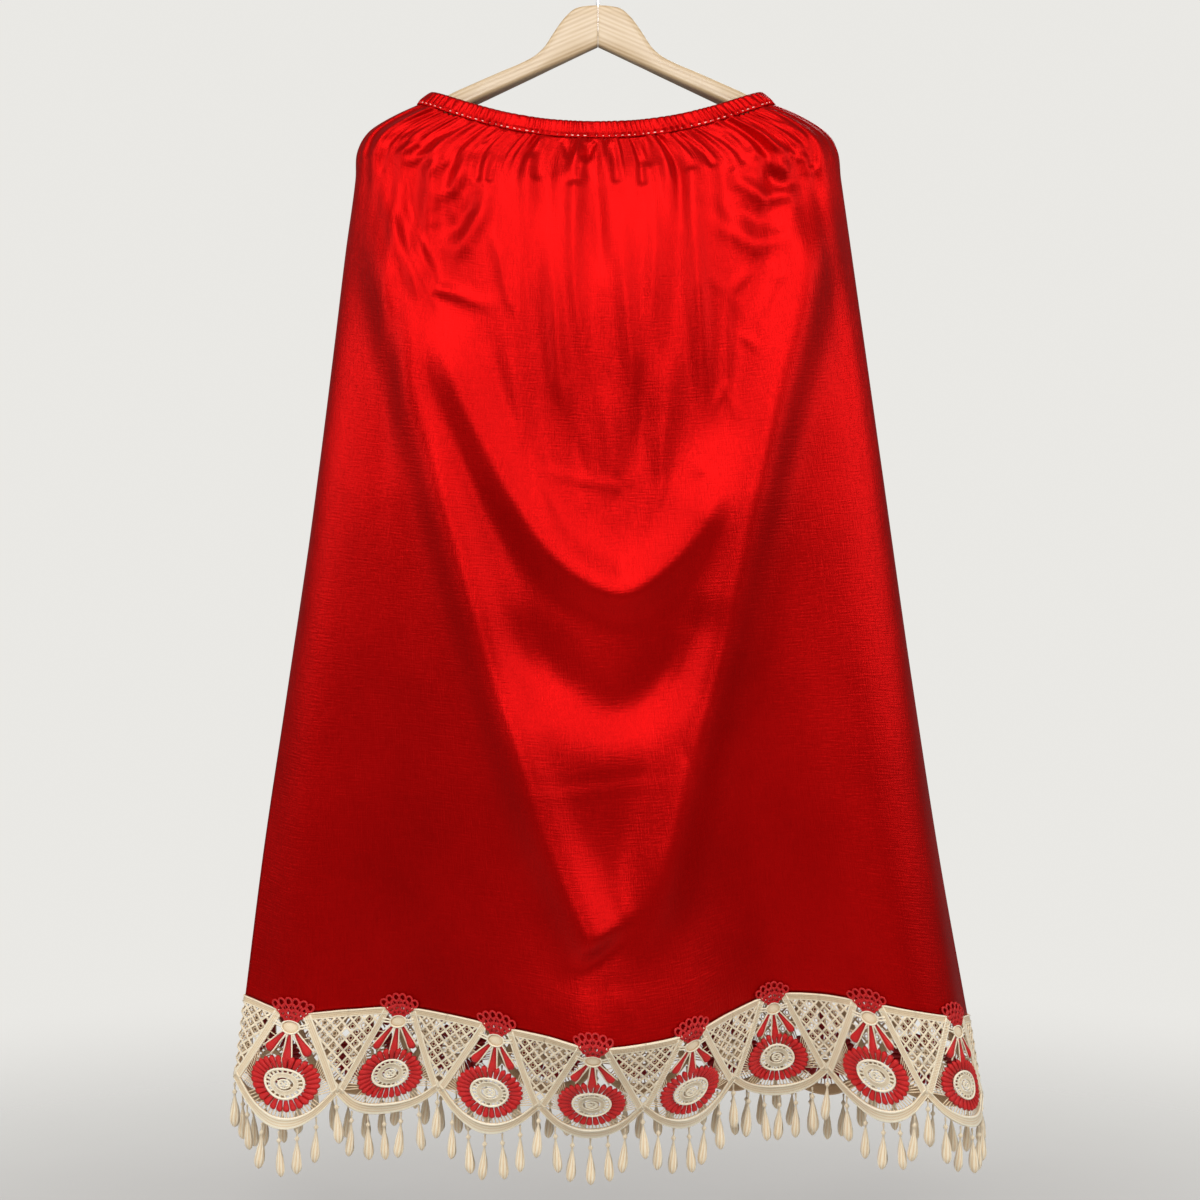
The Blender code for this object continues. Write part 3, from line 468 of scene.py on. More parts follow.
def line_height(x, z, folds, spread=0.0):
    """Sum of the folds' heights at points seen from the front: each a bell across its line. With a
    spread, as a share of a quarter of its length, the fold dies out at its ends by a bell along it."""
    total = np.zeros_like(x)
    for height, width, line in folds:
        line = np.array(line) * MM
        bell = np.exp(-((beside_line(x, z, line)[0] / (width * MM)) ** 2))
        if spread:
            end = np.minimum(*(np.hypot(x - p[0], z - p[1]) for p in (line[0], line[-1])))
            length = np.linalg.norm(np.diff(line, axis=0), axis=1).sum()
            bell = bell * (1 - np.exp(-((end / (spread * 0.25 * length)) ** 2)))
        total += height * MM * bell
    return total


def drape_height(x, z, folds, shapes):
    """The folds again, each along a curve through its points: a bell across it with a width on each
    side, that rises at the curve's start and sinks at its end. Negative folds are hollows."""
    total = np.zeros_like(x)
    for (_, _, line), (height, left, right, start, end) in zip(folds, shapes):
        line = np.array(line) * MM
        places = np.linspace(0, len(line) - 1, 6 * len(line))
        curve = np.stack([smooth(places, range(len(line)), line[:, k]) for k in (0, 1)], -1)
        off, along, on_right = beside_line(x, z, curve)
        width = np.where(on_right, right, left) * MM
        rise = eased(along / start) * eased((1 - along) / end)
        total += height * MM * rise * np.exp(-((off / width) ** 2))
    return total


def gather_height(side, share, down):
    """Gathers under the waistband: even folds of uneven height that die out downwards."""
    uneven = 1 + 0.35 * np.sin(TURN * (5.3 * share + 0.2 * side))
    fade = GATHER_FADE * (1 + 0.45 * np.sin(TURN * (3.7 * share + 0.35 * side)))
    middle = 1 - np.abs(2 * share - 1) ** 8
    wave = np.cos(TURN * GATHERS_A_SIDE * share)
    return GATHER_HEIGHT * uneven * middle * (1 + wave) * np.exp(-((down / fade) ** 2))


def skirt_point(side, share, ring, draped=False):
    """Outer surface of a panel. side is -1 in front and 1 behind, share runs from the left seam to the
    right one, and ring is the share of the way from the waistband to the satin's lower edge. Draped,
    it has the folds as curves, its finer folds, and its gathers uneven."""
    down = ring * SATIN_LENGTH
    x, y = ring_point(side, share, down)
    s = across(share)
    z = waist_z(s) - SEAM_GAP + ring * (HEM_LEVEL - waist_z(s))
    end_x, end_y = ring_point(side, share, SATIN_LENGTH + 0 * ring)
    repeat = share * REPEATS
    lift = SATIN_UNDER_LACE / LACE_LEVEL
    low = [hem(side, n, repeat) * (1 - lift) + hem(side, "low_" + n, repeat) * lift for n in "xyz"]
    wave = np.clip((ring - WAVES_FROM) / (1 - WAVES_FROM), 0, 1) ** WAVES_POWER
    x = x + wave * (low[0] - end_x)
    y = y + wave * (low[1] - end_y)
    z = z + wave * (low[2] - HEM_LEVEL)
    folds = FRONT_FOLDS if side < 0 else BACK_FOLDS
    edge = 1 - np.abs(2 * share - 1) ** 10
    gathers = gather_height(side, share, down)
    if draped:
        relief = drape_height(x, z, folds, FRONT_DRAPES if side < 0 else BACK_DRAPES)
        relief = relief + crease_height(side, share, down, x, z) + gathers * gathers_kept(side, share)
    else:
        relief = line_height(x, z, folds) + gathers
    return np.stack([x, y + side * edge * relief, z], -1)


def ripple(share, *waves):
    """A slow uneven wave across the cloth, -1 to 1: the mean of sines, each of a frequency and phase."""
    return sum(np.sin(TURN * (often * share + phase)) for often, phase in waves) / len(waves)


def tuck_height(side, share, down):
    """Tucks just below the waistband: narrow pits with a rounded rim, at uneven places, each as long,
    as deep and leaning as drawn. A pit is a narrow bell taken from a wider one across its line."""
    draw = np.random.default_rng(TUCK_SEED + side)
    across_mm, down_mm = share * TUCK_ARC, down / MM
    total = 0
    for k in range(TUCKS):
        size = {name: draw.uniform(*limits) for name, limits in TUCK_SIZES.items()}
        start = TUCK_ARC * (k + draw.uniform(0.15, 0.85)) / TUCKS
        run = size["length"] ** 2 + size["lean"] ** 2
        u, v = across_mm - start, down_mm - size["top"]
        t = np.clip((u * size["lean"] + v * size["length"]) / run, 0, 1)
        far = np.hypot(u - t * size["lean"], v - t * size["length"])
        width = size["width"] * (0.6 + 0.6 * t)
        pit = TUCK_RIM * np.exp(-((far / (2.1 * width)) ** 2)) - np.exp(-((far / width) ** 2))
        total = total + size["depth"] * MM * pit
    return total


def pucker_height(share, down):
    """Small puckers that run down from the waistband's ribs and die out at uneven depths."""
    wave = np.cos(TURN * (BAND_GATHERS / 2 * share + 0.35 * np.sin(TURN * 7 * share)))
    height = 1.3 * MM * (0.7 + ripple(share, (9.3, 0.1), (5.7, 0.4)))
    fade = PUCKER_FADE * (1 + 0.6 * ripple(share, (13.1, 0), (8.2, 0.3)))
    return height * wave * np.exp(-((down / fade) ** 2))


def long_fold_height(side, share, down):
    """Long soft folds that start between the gathers, wander sideways and end at uneven depths."""
    drift = share + 0.006 * ripple(share, (2.2, side * 0.2), (3.7, 0.5)) * down / (100 * MM)
    total = 0
    for often, phase, height, fade, start in LONG_FOLDS:
        wave = np.cos(TURN * (often * drift + phase + 0.17 * side))
        uneven = np.clip(0.45 + ripple(share, (often * 0.31, phase), (often * 0.17, 0.6)), 0, 1.4)
        reach = fade * MM * (1 + 0.5 * ripple(share, (often * 0.41, 0.2), (often * 0.23, phase)))
        begun = np.clip(down / (start * MM), 0, 1)
        total = total + height * MM * uneven * wave * begun * np.exp(-((down / reach) ** 2))
    return total


def crease_height(side, share, down, x, z):
    """Finer folds of the satin: the listed creases and broad swells, the puckers, long folds and
    tucks. All of them end above the lower edge."""
    if side < 0:
        creases = line_height(x, z, FRONT_CREASES, CREASE_SPREAD) + line_height(x, z, FRONT_SWELLS)
    else:
        creases = line_height(x, z, BACK_CREASES, CREASE_SPREAD)
    folds = pucker_height(share, down) + long_fold_height(side, share, down)
    ended = np.clip((SATIN_LENGTH - down) / (EDGE_FADE * SATIN_LENGTH), 0, 1)
    return (creases + folds + tuck_height(side, share, down)) * ended


def gathers_kept(side, share):
    """The share of the even gathers that is kept, so that some are flat and others stand out."""
    return 0.42 + 0.5 * ripple(share, (6.7, 0.15 * side), (10.9, 0.35))


def lace_point(side, repeat, down):
    """The lace's middle surface: on the satin above its edge, and hanging straight below it."""
    share = repeat / REPEATS
    ring = 1 + np.minimum(down - SATIN_UNDER_LACE, 0) * MM / SATIN_LENGTH
    on_satin = skirt_point(side, share, ring)
    fall = np.maximum(down - SATIN_UNDER_LACE, 0) / LACE_LEVEL
    drop = [hem(side, "low_" + n, repeat) - hem(side, n, repeat) for n in "xyz"]
    return on_satin + np.stack(drop, -1) * fall[..., None]


def turns(count, start=0.0):
    """Angles of even steps round a circle, the first one start steps on."""
    return (np.arange(count) + start) * TURN / count


def unit(vectors):
    """The vectors, each divided by its length."""
    return vectors / np.maximum(np.linalg.norm(vectors, axis=-1, keepdims=True), 1e-12)


def outward(surface, side, a, b, step_a, step_b):
    """Unit normals of a surface of two parameters, pointing away from the wearer."""
    along = surface(side, a + step_a, b) - surface(side, a - step_a, b)
    down = surface(side, a, b + step_b) - surface(side, a, b - step_b)
    return unit(np.cross(along, down)) * side


def make_piece(name, points, faces, material):
    """A smooth-shaded piece from points in metres and groups of faces, each group an array of point
    numbers with a row for each face. It rides on the one body and takes its slot's finish."""
    mesh = bpy.data.meshes.new(name)
    mesh.from_pydata(points.reshape(-1, 3), [], [f for group in faces for f in group.tolist()])
    mesh.materials.append(material)
    mesh.shade_smooth()
    piece = bpy.data.objects.new(name, mesh)
    bpy.context.scene.collection.objects.link(piece)
    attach(piece, "root")
    return piece


def give_uv(piece, u, v):
    """Stores a place on the cloth for every point, in metres, as the piece's UV map."""
    flat = np.stack([u.ravel(), v.ravel()], -1)
    corners = np.empty(len(piece.data.loops), np.int32)
    piece.data.loops.foreach_get("vertex_index", corners)
    layer = piece.data.uv_layers.new(name="cloth")
    layer.data.foreach_set("uv", flat[corners].astype(np.float32).ravel())


def give_rise_for_painted_shade(piece, rise):
    """Stores how far each point stands out of the work, 0 to 1, which the lace's finishes turn into
    painted shade in its hollows.
    """
    layer = piece.data.attributes.new("rise", "FLOAT", "POINT")
    layer.data.foreach_set("value", np.asarray(rise, np.float32).ravel())


def grid_faces(rows, columns, closed_rows=False, closed_columns=False, flip=False):
    """Quads of a grid of points listed row by row. A closed direction joins its last line to its
    first."""
    r = np.arange(rows if closed_rows else rows - 1)[:, None]
    c = np.arange(columns if closed_columns else columns - 1)[None, :]
    next_r = (r + 1) % rows
    next_c = (c + 1) % columns
    quad = [r * columns + c, r * columns + next_c, next_r * columns + next_c, next_r * columns + c]
    quads = np.stack([np.broadcast_to(q, (len(r), c.shape[1])) for q in quad], -1).reshape(-1, 4)
    return quads[:, ::-1] if flip else quads


def end_caps(rings, sides):
    """The two end faces of a tube of points listed ring by ring."""
    return np.stack([np.arange(sides)[::-1], (rings - 1) * sides + np.arange(sides)])


def tube_faces(count, rings, sides, flip=False):
    """Quads and ends of count closed tubes, their points listed tube by tube and ring by ring."""
    start = np.arange(count)[:, None, None] * rings * sides
    walls = grid_faces(rings, sides, closed_columns=True, flip=flip)
    ends = end_caps(rings, sides)[:, ::-1 if flip else 1]
    return [(part[None] + start).reshape(-1, part.shape[1]) for part in (walls, ends)]


class Flatwork:
    """Needlework drawn flat before it is laid: millimetres across, down and above the cloth."""

    def __init__(self):
        self.points = []
        self.quads = []
        self.caps = {}
        self.count = 0

    def add(self, points, quads, ends=None):
        """Takes points, and faces that already count from the last point taken."""
        self.points.append(points.reshape(-1, 3))
        self.quads.append(quads.reshape(-1, 4))
        if ends is not None:
            self.caps.setdefault(ends.shape[-1], []).append(ends.reshape(-1, ends.shape[-1]))
        self.count += points.size // 3

    def carry(self, u, v, profile, closed=False, height=0.0, swell=None):
        """Carries a profile along paths: u and v are arrays of one row for each path, and profile is a
        closed outline of places across and above the path. Each point is the path's, plus the place
        across along the path's flat normal. swell scales the profile at each point of the paths."""
        u, v = np.atleast_2d(u).astype(float), np.atleast_2d(v).astype(float)
        paths, steps = u.shape
        if closed:
            du = np.roll(u, -1, 1) - np.roll(u, 1, 1)
            dv = np.roll(v, -1, 1) - np.roll(v, 1, 1)
        else:
            du, dv = np.gradient(u, axis=1), np.gradient(v, axis=1)
        long = np.maximum(np.hypot(du, dv), 1e-9)
        profile = np.asarray(profile, float)
        sides = len(profile)
        size = np.ones((paths, steps)) if swell is None else np.broadcast_to(swell, (paths, steps))
        out = profile[:, 0] * size[..., None]
        up = profile[:, 1] * size[..., None] + np.broadcast_to(height, (paths, steps))[..., None]
        made = np.stack([u[..., None] - dv[..., None] / long[..., None] * out,
                         v[..., None] + du[..., None] / long[..., None] * out, up], -1)
        start = self.count + np.arange(paths)[:, None, None] * steps * sides
        walls = grid_faces(steps, sides, closed_rows=closed, closed_columns=True)[None] + start
        self.add(made, walls, None if closed else end_caps(steps, sides)[None] + start)

    def dome(self, u, v, half_wide, half_tall, rise, rings=5, sides=20):
        """A rounded mound, closed below: an oval of rings whose height falls as a circle's does."""
        tilt = np.linspace(0, math.pi / 2, rings)[:, None]
        turn = turns(sides)[None]
        wide = np.cos(tilt) * 0.999 + 0.001
        points = np.stack([u + half_wide * wide * np.cos(turn), v + half_tall * wide * np.sin(turn),
                           rise * np.sin(tilt) + 0 * turn], -1)
        walls = grid_faces(rings, sides, closed_columns=True) + self.count
        self.add(points, walls, end_caps(rings, sides) + self.count)

    def repeated(self, count, pitch):
        """The points and groups of faces of count repeats side by side, pitch apart."""
        one = np.concatenate(self.points)
        shift = (np.arange(count) + 0.5) * pitch
        points = one[None] + np.stack([shift, 0 * shift, 0 * shift], -1)[:, None]
        starts = np.arange(count)[:, None, None] * len(one)
        groups = [np.concatenate(self.quads)] + [np.concatenate(g) for g in self.caps.values()]
        return points.reshape(-1, 3), [(g[None] + starts).reshape(-1, g.shape[1]) for g in groups]


def cord(name):
    """A round profile of the cord's radius that stands on the cloth."""
    radius, sides = CORDS[name]
    turn = turns(sides)
    return np.stack([radius * np.cos(turn), radius * (1 + np.sin(turn))], -1)


def braid_profile(width):
    """A flat braid with a raised cord along each edge and a lower one in the middle."""
    h = width / 2
    top = ((h, 0.3), (0.94 * h, 1.4), (0.72 * h, 2.1), (0.46 * h, 0.6), (0.24 * h, 1.4), (0, 0.6),
           (-0.24 * h, 1.4), (-0.46 * h, 0.6), (-0.72 * h, 2.1), (-0.94 * h, 1.4), (-h, 0.3))
    return np.array((*top, (-0.6 * h, 0), (0.6 * h, 0)))


def both_sides(work, u, v, profile, **more):
    """Carries the profile along the paths and along their mirror images."""
    work.carry(u, v, profile, **more)
    work.carry(-np.atleast_2d(u)[:, ::-1], np.atleast_2d(v)[:, ::-1], profile, **more)


def straight(starts, ends, steps):
    """Straight paths: u and v arrays with a row for each pair of ends."""
    t = np.linspace(0, 1, steps)
    starts, ends = np.asarray(starts, float), np.asarray(ends, float)
    line = starts[:, None] * (1 - t)[None, :, None] + ends[:, None] * t[None, :, None]
    return line[..., 0], line[..., 1]


def scallop_curve(steps, inset):
    """The lower edge of one repeat, moved up by inset: a cubic through the scallop's points."""
    u = np.linspace(-PITCH / 2, PITCH / 2, steps)
    return u, smooth(u, SCALLOP_ACROSS, SCALLOP_DOWN) - inset


def slanted_braid(inset):
    """The ends of the braid beside the trellis: its upper corner and the junction."""
    return np.array([(PITCH / 2 - TRELLIS_HALF + inset, 3.0), (PITCH / 2 - 2.2, JUNCTION_DOWN - 3)])


def draw_trellis(cream):
    """Half of a trellis triangle on each side: threads in two slants in pairs, and a ring in each mesh.
    A thread is the part of its slanted line inside the triangle."""
    half, tall = TRELLIS_HALF - 4, JUNCTION_DOWN - 8
    starts, ends = [], []
    for k in range(-8, 18):
        for lean in (1, -1):
            for beside in (-LATTICE_PAIR, LATTICE_PAIR):
                p = np.linspace(-half, 0, 60)
                v = LATTICE_TOP + (k + beside / 8) * LATTICE_TALL + lean * p * LATTICE_TALL / LATTICE_WIDE
                keep = (v > 6) & (p > -half * (1 - (v - 4) / tall))
                if keep.sum() > 2:
                    starts.append((PITCH / 2 + p[keep][0], v[keep][0]))
                    ends.append((PITCH / 2 + p[keep][-1], v[keep][-1]))
    both_sides(cream, *straight(starts, ends, 6), cord("trellis"), height=0.6)
    places = np.array([(i * LATTICE_WIDE / 2, LATTICE_TOP + j * LATTICE_TALL / 2)
                       for i in range(-7, 1) for j in range(1, 14) if (i + j) % 2 == 1])
    p, v = places.T
    inside = (v > 8) & (p - 2 > -half * (1 - (v - 2) / tall)) & (p < -1)
    u = PITCH / 2 + p[inside][:, None] + MESH_RING[0] * np.cos(turns(9))
    v = v[inside][:, None] + MESH_RING[1] * np.sin(turns(9))
    both_sides(cream, u, v, cord("mesh_ring"), closed=True)


def draw_braids(cream):
    """The braids: along the top of the trellis, down both its slants, and, wider in its middle, along
    the scallop."""
    corner = PITCH / 2 - TRELLIS_HALF
    top = straight([(corner - 0.5, TOP_BRAID_DOWN)], [(PITCH / 2, TOP_BRAID_DOWN)], 12)
    both_sides(cream, *top, braid_profile(BRAID))
    ends = slanted_braid(0.5)
    both_sides(cream, *straight(ends[:1], ends[1:], 24), braid_profile(BRAID), height=0.25)
    u, v = scallop_curve(49, SCALLOP_BRAID_UP)
    cream.carry(u, v, braid_profile(BRAID), swell=1.0 + 0.6 * np.cos(math.pi * u / PITCH) ** 2)


def oval(size, scale, turn):
    """Places at these angles round an oval about the rosette's middle, as rows of across and down."""
    return np.stack([size[0] * scale * np.cos(turn), ROSETTE_DOWN + size[1] * scale * np.sin(turn)], -1)


def draw_ladders(cream):
    """Bars from the rosette out to the braids around it."""
    bar = cord("ladder")
    top, foot = slanted_braid(-2)
    ends = top + (foot - top) * np.linspace(0.5, 0.97, 13)[:, None]
    starts = oval(ROSETTE_OUT, LADDER_FROM, np.linspace(-0.62, 0.46, 13))
    both_sides(cream, *straight(starts, ends, 4), bar, height=0.2)
    turn = np.linspace(0.58, math.pi - 0.58, 22)
    across_mm = np.interp(np.cos(turn), (-1, 1), (-41, 41))
    ends = np.stack([across_mm, np.interp(across_mm, *scallop_curve(97, 8))], -1)
    cream.carry(*straight(oval(ROSETTE_OUT, LADDER_FROM, turn), ends, 3), bar, height=0.2)


def draw_middle(cream):
    """The rosette's oval middle: a rim, bars that part the eyelets, a braid, and a small button with
    two eyes and four bars."""
    cream.carry(*oval(ROSETTE_IN, 0.93, turns(40)).T, cord("eyelet_rim"), closed=True, height=0.6)
    between = turns(EYELETS, 0.5)
    bars = straight(oval(ROSETTE_IN, 0.68, between), oval(ROSETTE_IN, 0.92, between), 3)
    cream.carry(*bars, cord("eyelet_bar"), height=0.3)
    cream.carry(*oval(ROSETTE_IN, 0.56, turns(36)).T, braid_profile(4.8), closed=True, height=0.5)
    cream.carry(*oval(ROSETTE_IN, 0.27, turns(24)).T, cord("button"), closed=True, height=0.8)
    eyes = np.array([(-2.1,), (2.1,)])
    cream.carry(eyes + 1.7 * np.cos(turns(10)), ROSETTE_DOWN + 1.5 * np.sin(turns(10)) + 0 * eyes,
                cord("button_eye"), closed=True, height=1.0)
    four = turns(4) + 0.4
    bars = straight(oval(ROSETTE_IN, 0.25, four), oval(ROSETTE_IN, 0.5, four), 3)
    cream.carry(*bars, cord("button_bar"), height=0.5)


def pod(work, starts, ends, widths, rise, steps=8):
    """Padded stitches: an oval body from each start to its end, as wide as the given table of share
    and half width says, crowned across."""
    u, v = straight(starts, ends, steps)
    crowned = np.stack([np.cos(turns(8)), rise * (0.5 + 0.5 * np.sin(turns(8)))], -1)
    work.carry(u, v, crowned, swell=np.interp(np.linspace(0, 1, steps), *zip(*widths)))


def draw_rosette(red):
    """The rosette's padded petals, one beside the other round the oval."""
    turn = turns(ROSETTE_PETALS, 0.5)
    pod(red, oval(ROSETTE_IN, 0.97, turn), oval(ROSETTE_OUT, 1, turn), ROSETTE_WIDTHS, 1.15)


def draw_petals(red, cream):
    """Three padded petals between the knob and the rosette, with a cream cord along each side, and bars
    from the outer ones to the braids."""
    foot, tip = np.array(PETAL_FEET), np.array(PETAL_TIPS)
    pod(red, foot, tip, PETAL_WIDTHS, 0.95, steps=12)
    along = unit(tip - foot)
    side = np.stack([-along[:, 1], along[:, 0]], -1)
    for sign in (-1, 1):
        cords = straight(foot + sign * side * 2.0, tip + sign * side * 4.6, 8)
        cream.carry(*cords, cord("petal_side"), height=0.5)
    rungs = np.linspace(1 / 3, 13 / 15, 3)[:, None]
    top, junction = slanted_braid(-1.5)
    on_braid = top + (junction - top) * (0.14 + 0.36 * rungs)
    on_petal = foot[2] + (tip[2] - foot[2] - side[2] * 3.4) * rungs
    both_sides(cream, *straight(on_petal, on_braid, 3), cord("petal_bar"), height=0.2)


def draw_knob(cream):
    """The oval knob, its rim and its side bars."""
    cream.dome(0, KNOB_DOWN, KNOB_HALF[0], KNOB_HALF[1], 1.5, rings=7, sides=28)
    wide, tall = (KNOB_RIM * half for half in KNOB_HALF)
    cream.carry(wide * np.cos(turns(28)), KNOB_DOWN + tall * np.sin(turns(28)), cord("knob_rim"),
                closed=True, height=0.6)
    both_sides(cream, *straight(KNOB_BAR_FROM, KNOB_BAR_TO, 4), cord("knob_bar"), height=0.4)


def fan(radius, lean):
    """Places at a distance from the crown's foot, leaning from upright by an angle."""
    return radius * np.sin(lean), CROWN_FOOT_DOWN - radius * np.cos(lean)


def draw_crown(red):
    """The crown on the satin: fanned rows of loops over a body of crossed stitches. A loop's middle is
    at an angle and a radius from the crown's foot."""
    for row in CROWN_LOOPS:
        loop = dict(zip(CROWN_COLUMNS, row))
        lean = np.radians(np.array(loop["angles"]))[:, None]
        along = loop["size"] * 1.15 * np.cos(turns(12))
        beside = loop["size"] * 0.95 * np.sin(turns(12))
        u, v = fan(loop["radius"] + along, lean)
        red.carry(u + beside * np.cos(lean), v + beside * np.sin(lean), cord("crown_loop"),
                  closed=True, height=0.1)
    lean = np.radians(np.linspace(-34, 34, 9))
    feet, tops = (np.stack(fan(radius, lean), -1) for radius in (8, 24))
    red.carry(*straight(feet, tops, 7), cord("crown_thread"))
    lean = np.radians(np.linspace(-36, 36, 25))
    for radius in CROWN_STITCH_RADII:
        waver = radius + 0.9 * np.sin(np.linspace(0, 6 * TURN, 25))
        red.carry(*fan(waver, lean), cord("crown_stitch"), height=0.5)


def lay(side, flat):
    """Lays flat work on the lace's surface: its place there, plus its height along the normal."""
    repeat, down = flat[:, 0] / PITCH, flat[:, 1]
    base = lace_point(side, repeat, down)
    normal = outward(lace_point, side, np.clip(repeat, 0.03, REPEATS - 0.03), down, 0.03, 0.6)
    return base + normal * (LACE_OFF_SATIN + flat[:, 2:] * MM)


def make_lace(name, side, thread, silk):
    """Half of the lace border: a cream piece, and a red one on it. Across, down and off the cloth turn
    the other way round in front, so the faces are turned round there."""
    cream, red = Flatwork(), Flatwork()
    draw_trellis(cream)
    draw_braids(cream)
    draw_ladders(cream)
    draw_middle(cream)
    draw_petals(red, cream)
    draw_knob(cream)
    draw_rosette(red)
    draw_crown(red)
    made = []
    for work, title, material in ((cream, name + "_threads", thread), (red, name + "_red_silk", silk)):
        points, faces = work.repeated(REPEATS, PITCH)
        inside = np.clip(points[:, 0], 0.2, REPEATS * PITCH - 0.2)
        points = np.stack([inside, points[:, 1], points[:, 2]], -1)
        if side < 0:
            faces = [f[:, ::-1] for f in faces]
        piece = make_piece(title, lay(side, points), faces, material)
        give_uv(piece, points[:, 0] * MM, points[:, 1] * MM)
        # Height above the cloth, which the finishes turn into painted shade where the work lies low
        give_rise_for_painted_shade(piece, points[:, 2] / RISE_FULL)
        made.append(piece)
    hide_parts(name)
    return made


def make_drops(name, side, thread):
    """Thread drops along the scallops: a profile turned about each drop's line, ribbed lengthways.
    The line runs from the lace's edge straight down, bent sideways by the drop's sway."""
    spacing = PITCH / DROPS_A_REPEAT
    count = REPEATS * DROPS_A_REPEAT
    centres = np.arange(count) * spacing + (0 if side < 0 else spacing)
    centres = np.clip(centres, DROP_ROOT, REPEATS * PITCH - DROP_ROOT)
    down = np.interp(centres % PITCH - PITCH / 2, SCALLOP_ACROSS, SCALLOP_DOWN) + FRINGE_GAP + FRINGE_STRIP
    repeat = centres / PITCH
    root = lace_point(side, repeat, down)
    root = root + outward(lace_point, side, repeat, down, 0.03, 0.6) * (LACE_OFF_SATIN + LACE / 2)
    d = np.arange(count)
    sway = np.stack([np.sin(2.4 * d), 0.6 * np.cos(1.7 * d + side), 0 * d], -1) * DROP_SWAY
    rings, sides = 30, 20
    fall = np.linspace(DROP[0][0], DROP[-1][0], rings)
    radius = smooth(fall, column(DROP, DROP_COLUMNS, "down"), column(DROP, DROP_COLUMNS, "radius")) * MM
    share = np.clip(fall / DROP[-1][0], 0, 1)
    turn = turns(sides)
    full = np.clip((fall - DROP_BELLY_FROM) / 8, 0, 1)[None, :, None]
    twist = np.cos(turn[None, None, :] * DROP_RIBS + fall[None, :, None] * 0.16 + d[:, None, None])
    size = 1 + 0.1 * np.sin(3.1 * d + 1)[:, None, None]
    grown = radius[None, :, None] * (1 + DROP_RIB * full * twist) * np.where(full > 0, size, 1)
    centre = root[:, None] + sway[:, None] * share[None, :, None] ** 1.4
    x = centre[..., 0, None] + grown * np.cos(turn)
    y = centre[..., 1, None] + grown * np.sin(turn)
    z = centre[..., 2, None] - fall[None, :, None] * MM + 0 * grown
    faces = tube_faces(count, rings, sides, flip=True)
    piece = make_piece(name + "_drops", np.stack([x, y, z], -1), faces, thread)
    give_uv(piece, 0 * x + turn * 4 * MM, 0 * x + fall[None, :, None] * MM)
    # Painted shade on the drops: darker in the grooves between the ribs, lighter on the ribs
    give_rise_for_painted_shade(piece, 0.62 + 0.38 * full * twist)
    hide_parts(name)
    return piece


def make_panel(name, side, grid, satin):
    """A satin panel: its surface on a grid, closer rows near the waistband, and a wall's thickness."""
    columns, rows = grid
    share, ring = np.meshgrid(np.linspace(0, 1, columns + 1), np.linspace(0, 1, rows + 1) ** 1.25)
    points = skirt_point(side, share, ring, draped=True)
    faces = grid_faces(rows + 1, columns + 1, flip=side < 0)
    piece = make_piece(name + "_satin", points, [faces], satin)
    give_uv(piece, share * REPEATS * PITCH * MM, ring * SATIN_LENGTH)
    wall = piece.modifiers.new("wall", "SOLIDIFY")
    wall.thickness = SHELL
    wall.offset = -1
    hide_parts(name)
    return piece


def band_place(place, height, swell):
    """A point of the waistband. place runs 0 to 1 across the front and on to 2 across the back, height
    is 0 at its lower edge and 1 at its upper one, and swell is how far it stands off the plain ring."""
    side = np.where(place % 2 < 1, -1, 1)
    share = np.where(place % 2 < 1, place % 2, 2 - place % 2)
    s = across(share)
    front, behind = (ring_point(one, share, 0 * share) for one in (-1, 1))
    x = np.where(side < 0, front[0], behind[0])
    y = np.where(side < 0, front[1], behind[1])
    step = 0.004
    before, after = (ring_point(-1, np.clip(share + d, 0, 1), 0 * share) for d in (-step, step))
    run_x, run_y = after[0] - before[0], (after[1] - before[1]) * -side
    normal = unit(np.stack([run_y, run_x * side], -1))
    normal[..., 0] = np.sign(s) * np.abs(normal[..., 0])
    at_turn = np.isclose(np.abs(s), 1)
    normal = np.where(at_turn[..., None], np.stack([np.sign(s), 0 * s], -1), normal)
    narrow = 1 - BAND_LEAN / BAND_HALF * height
    rise = np.sqrt(BAND_HEIGHT**2 - (BAND_LEAN * s) ** 2) * height
    flat = np.stack([x, y], -1) * narrow[..., None] + normal * swell[..., None]
    return np.concatenate([flat, (waist_z(s) + rise)[..., None]], -1)


def make_waistband(satin):
    """The elastic casing: a closed tube round the waist, gathered into ribs. Each rib is a rounded wave
    with a narrow valley, and both its phase and depth wander a little."""
    columns, outside, inside = BAND_GATHERS * 9, 12, 5
    t = np.concatenate([np.linspace(0, 1, outside), np.linspace(1, 0, inside + 2)[1:-1]])
    out = np.concatenate([np.ones(outside), np.zeros(inside)])[:, None]
    place, t = np.meshgrid(np.arange(columns) * 2 / columns, t)
    lean = 0.3 * t + 0.35 * np.sin(TURN * 5 * place) + 0.25 * np.sin(TURN * 11.5 * place)
    phase = BAND_GATHERS / 2 * place + lean
    rib = np.abs(np.sin(math.pi * phase)) ** 0.7
    deep = BAND_RIB * (0.8 + 0.3 * np.sin(TURN * 8.5 * place + 4 * t))
    casing = BAND_BULGE * np.sin(math.pi * np.clip(t, 0, 1)) ** 0.6
    stitch = 0.7 * MM * np.exp(-(((t - STITCH_LEVEL) / 0.05) ** 2))
    swell = np.where(out > 0, casing + deep * (rib - 0.35) - stitch, -BAND_INSIDE + 0 * t)
    points = band_place(place, t, swell)
    faces = grid_faces(outside + inside, columns, closed_rows=True, closed_columns=True)
    piece = make_piece("waistband_gathered", points, [faces], satin)
    give_uv(piece, place * BAND_SIDE * BAND_FULLNESS, t * BAND_HEIGHT + 0 * place)
    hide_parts("waistband")
    return piece


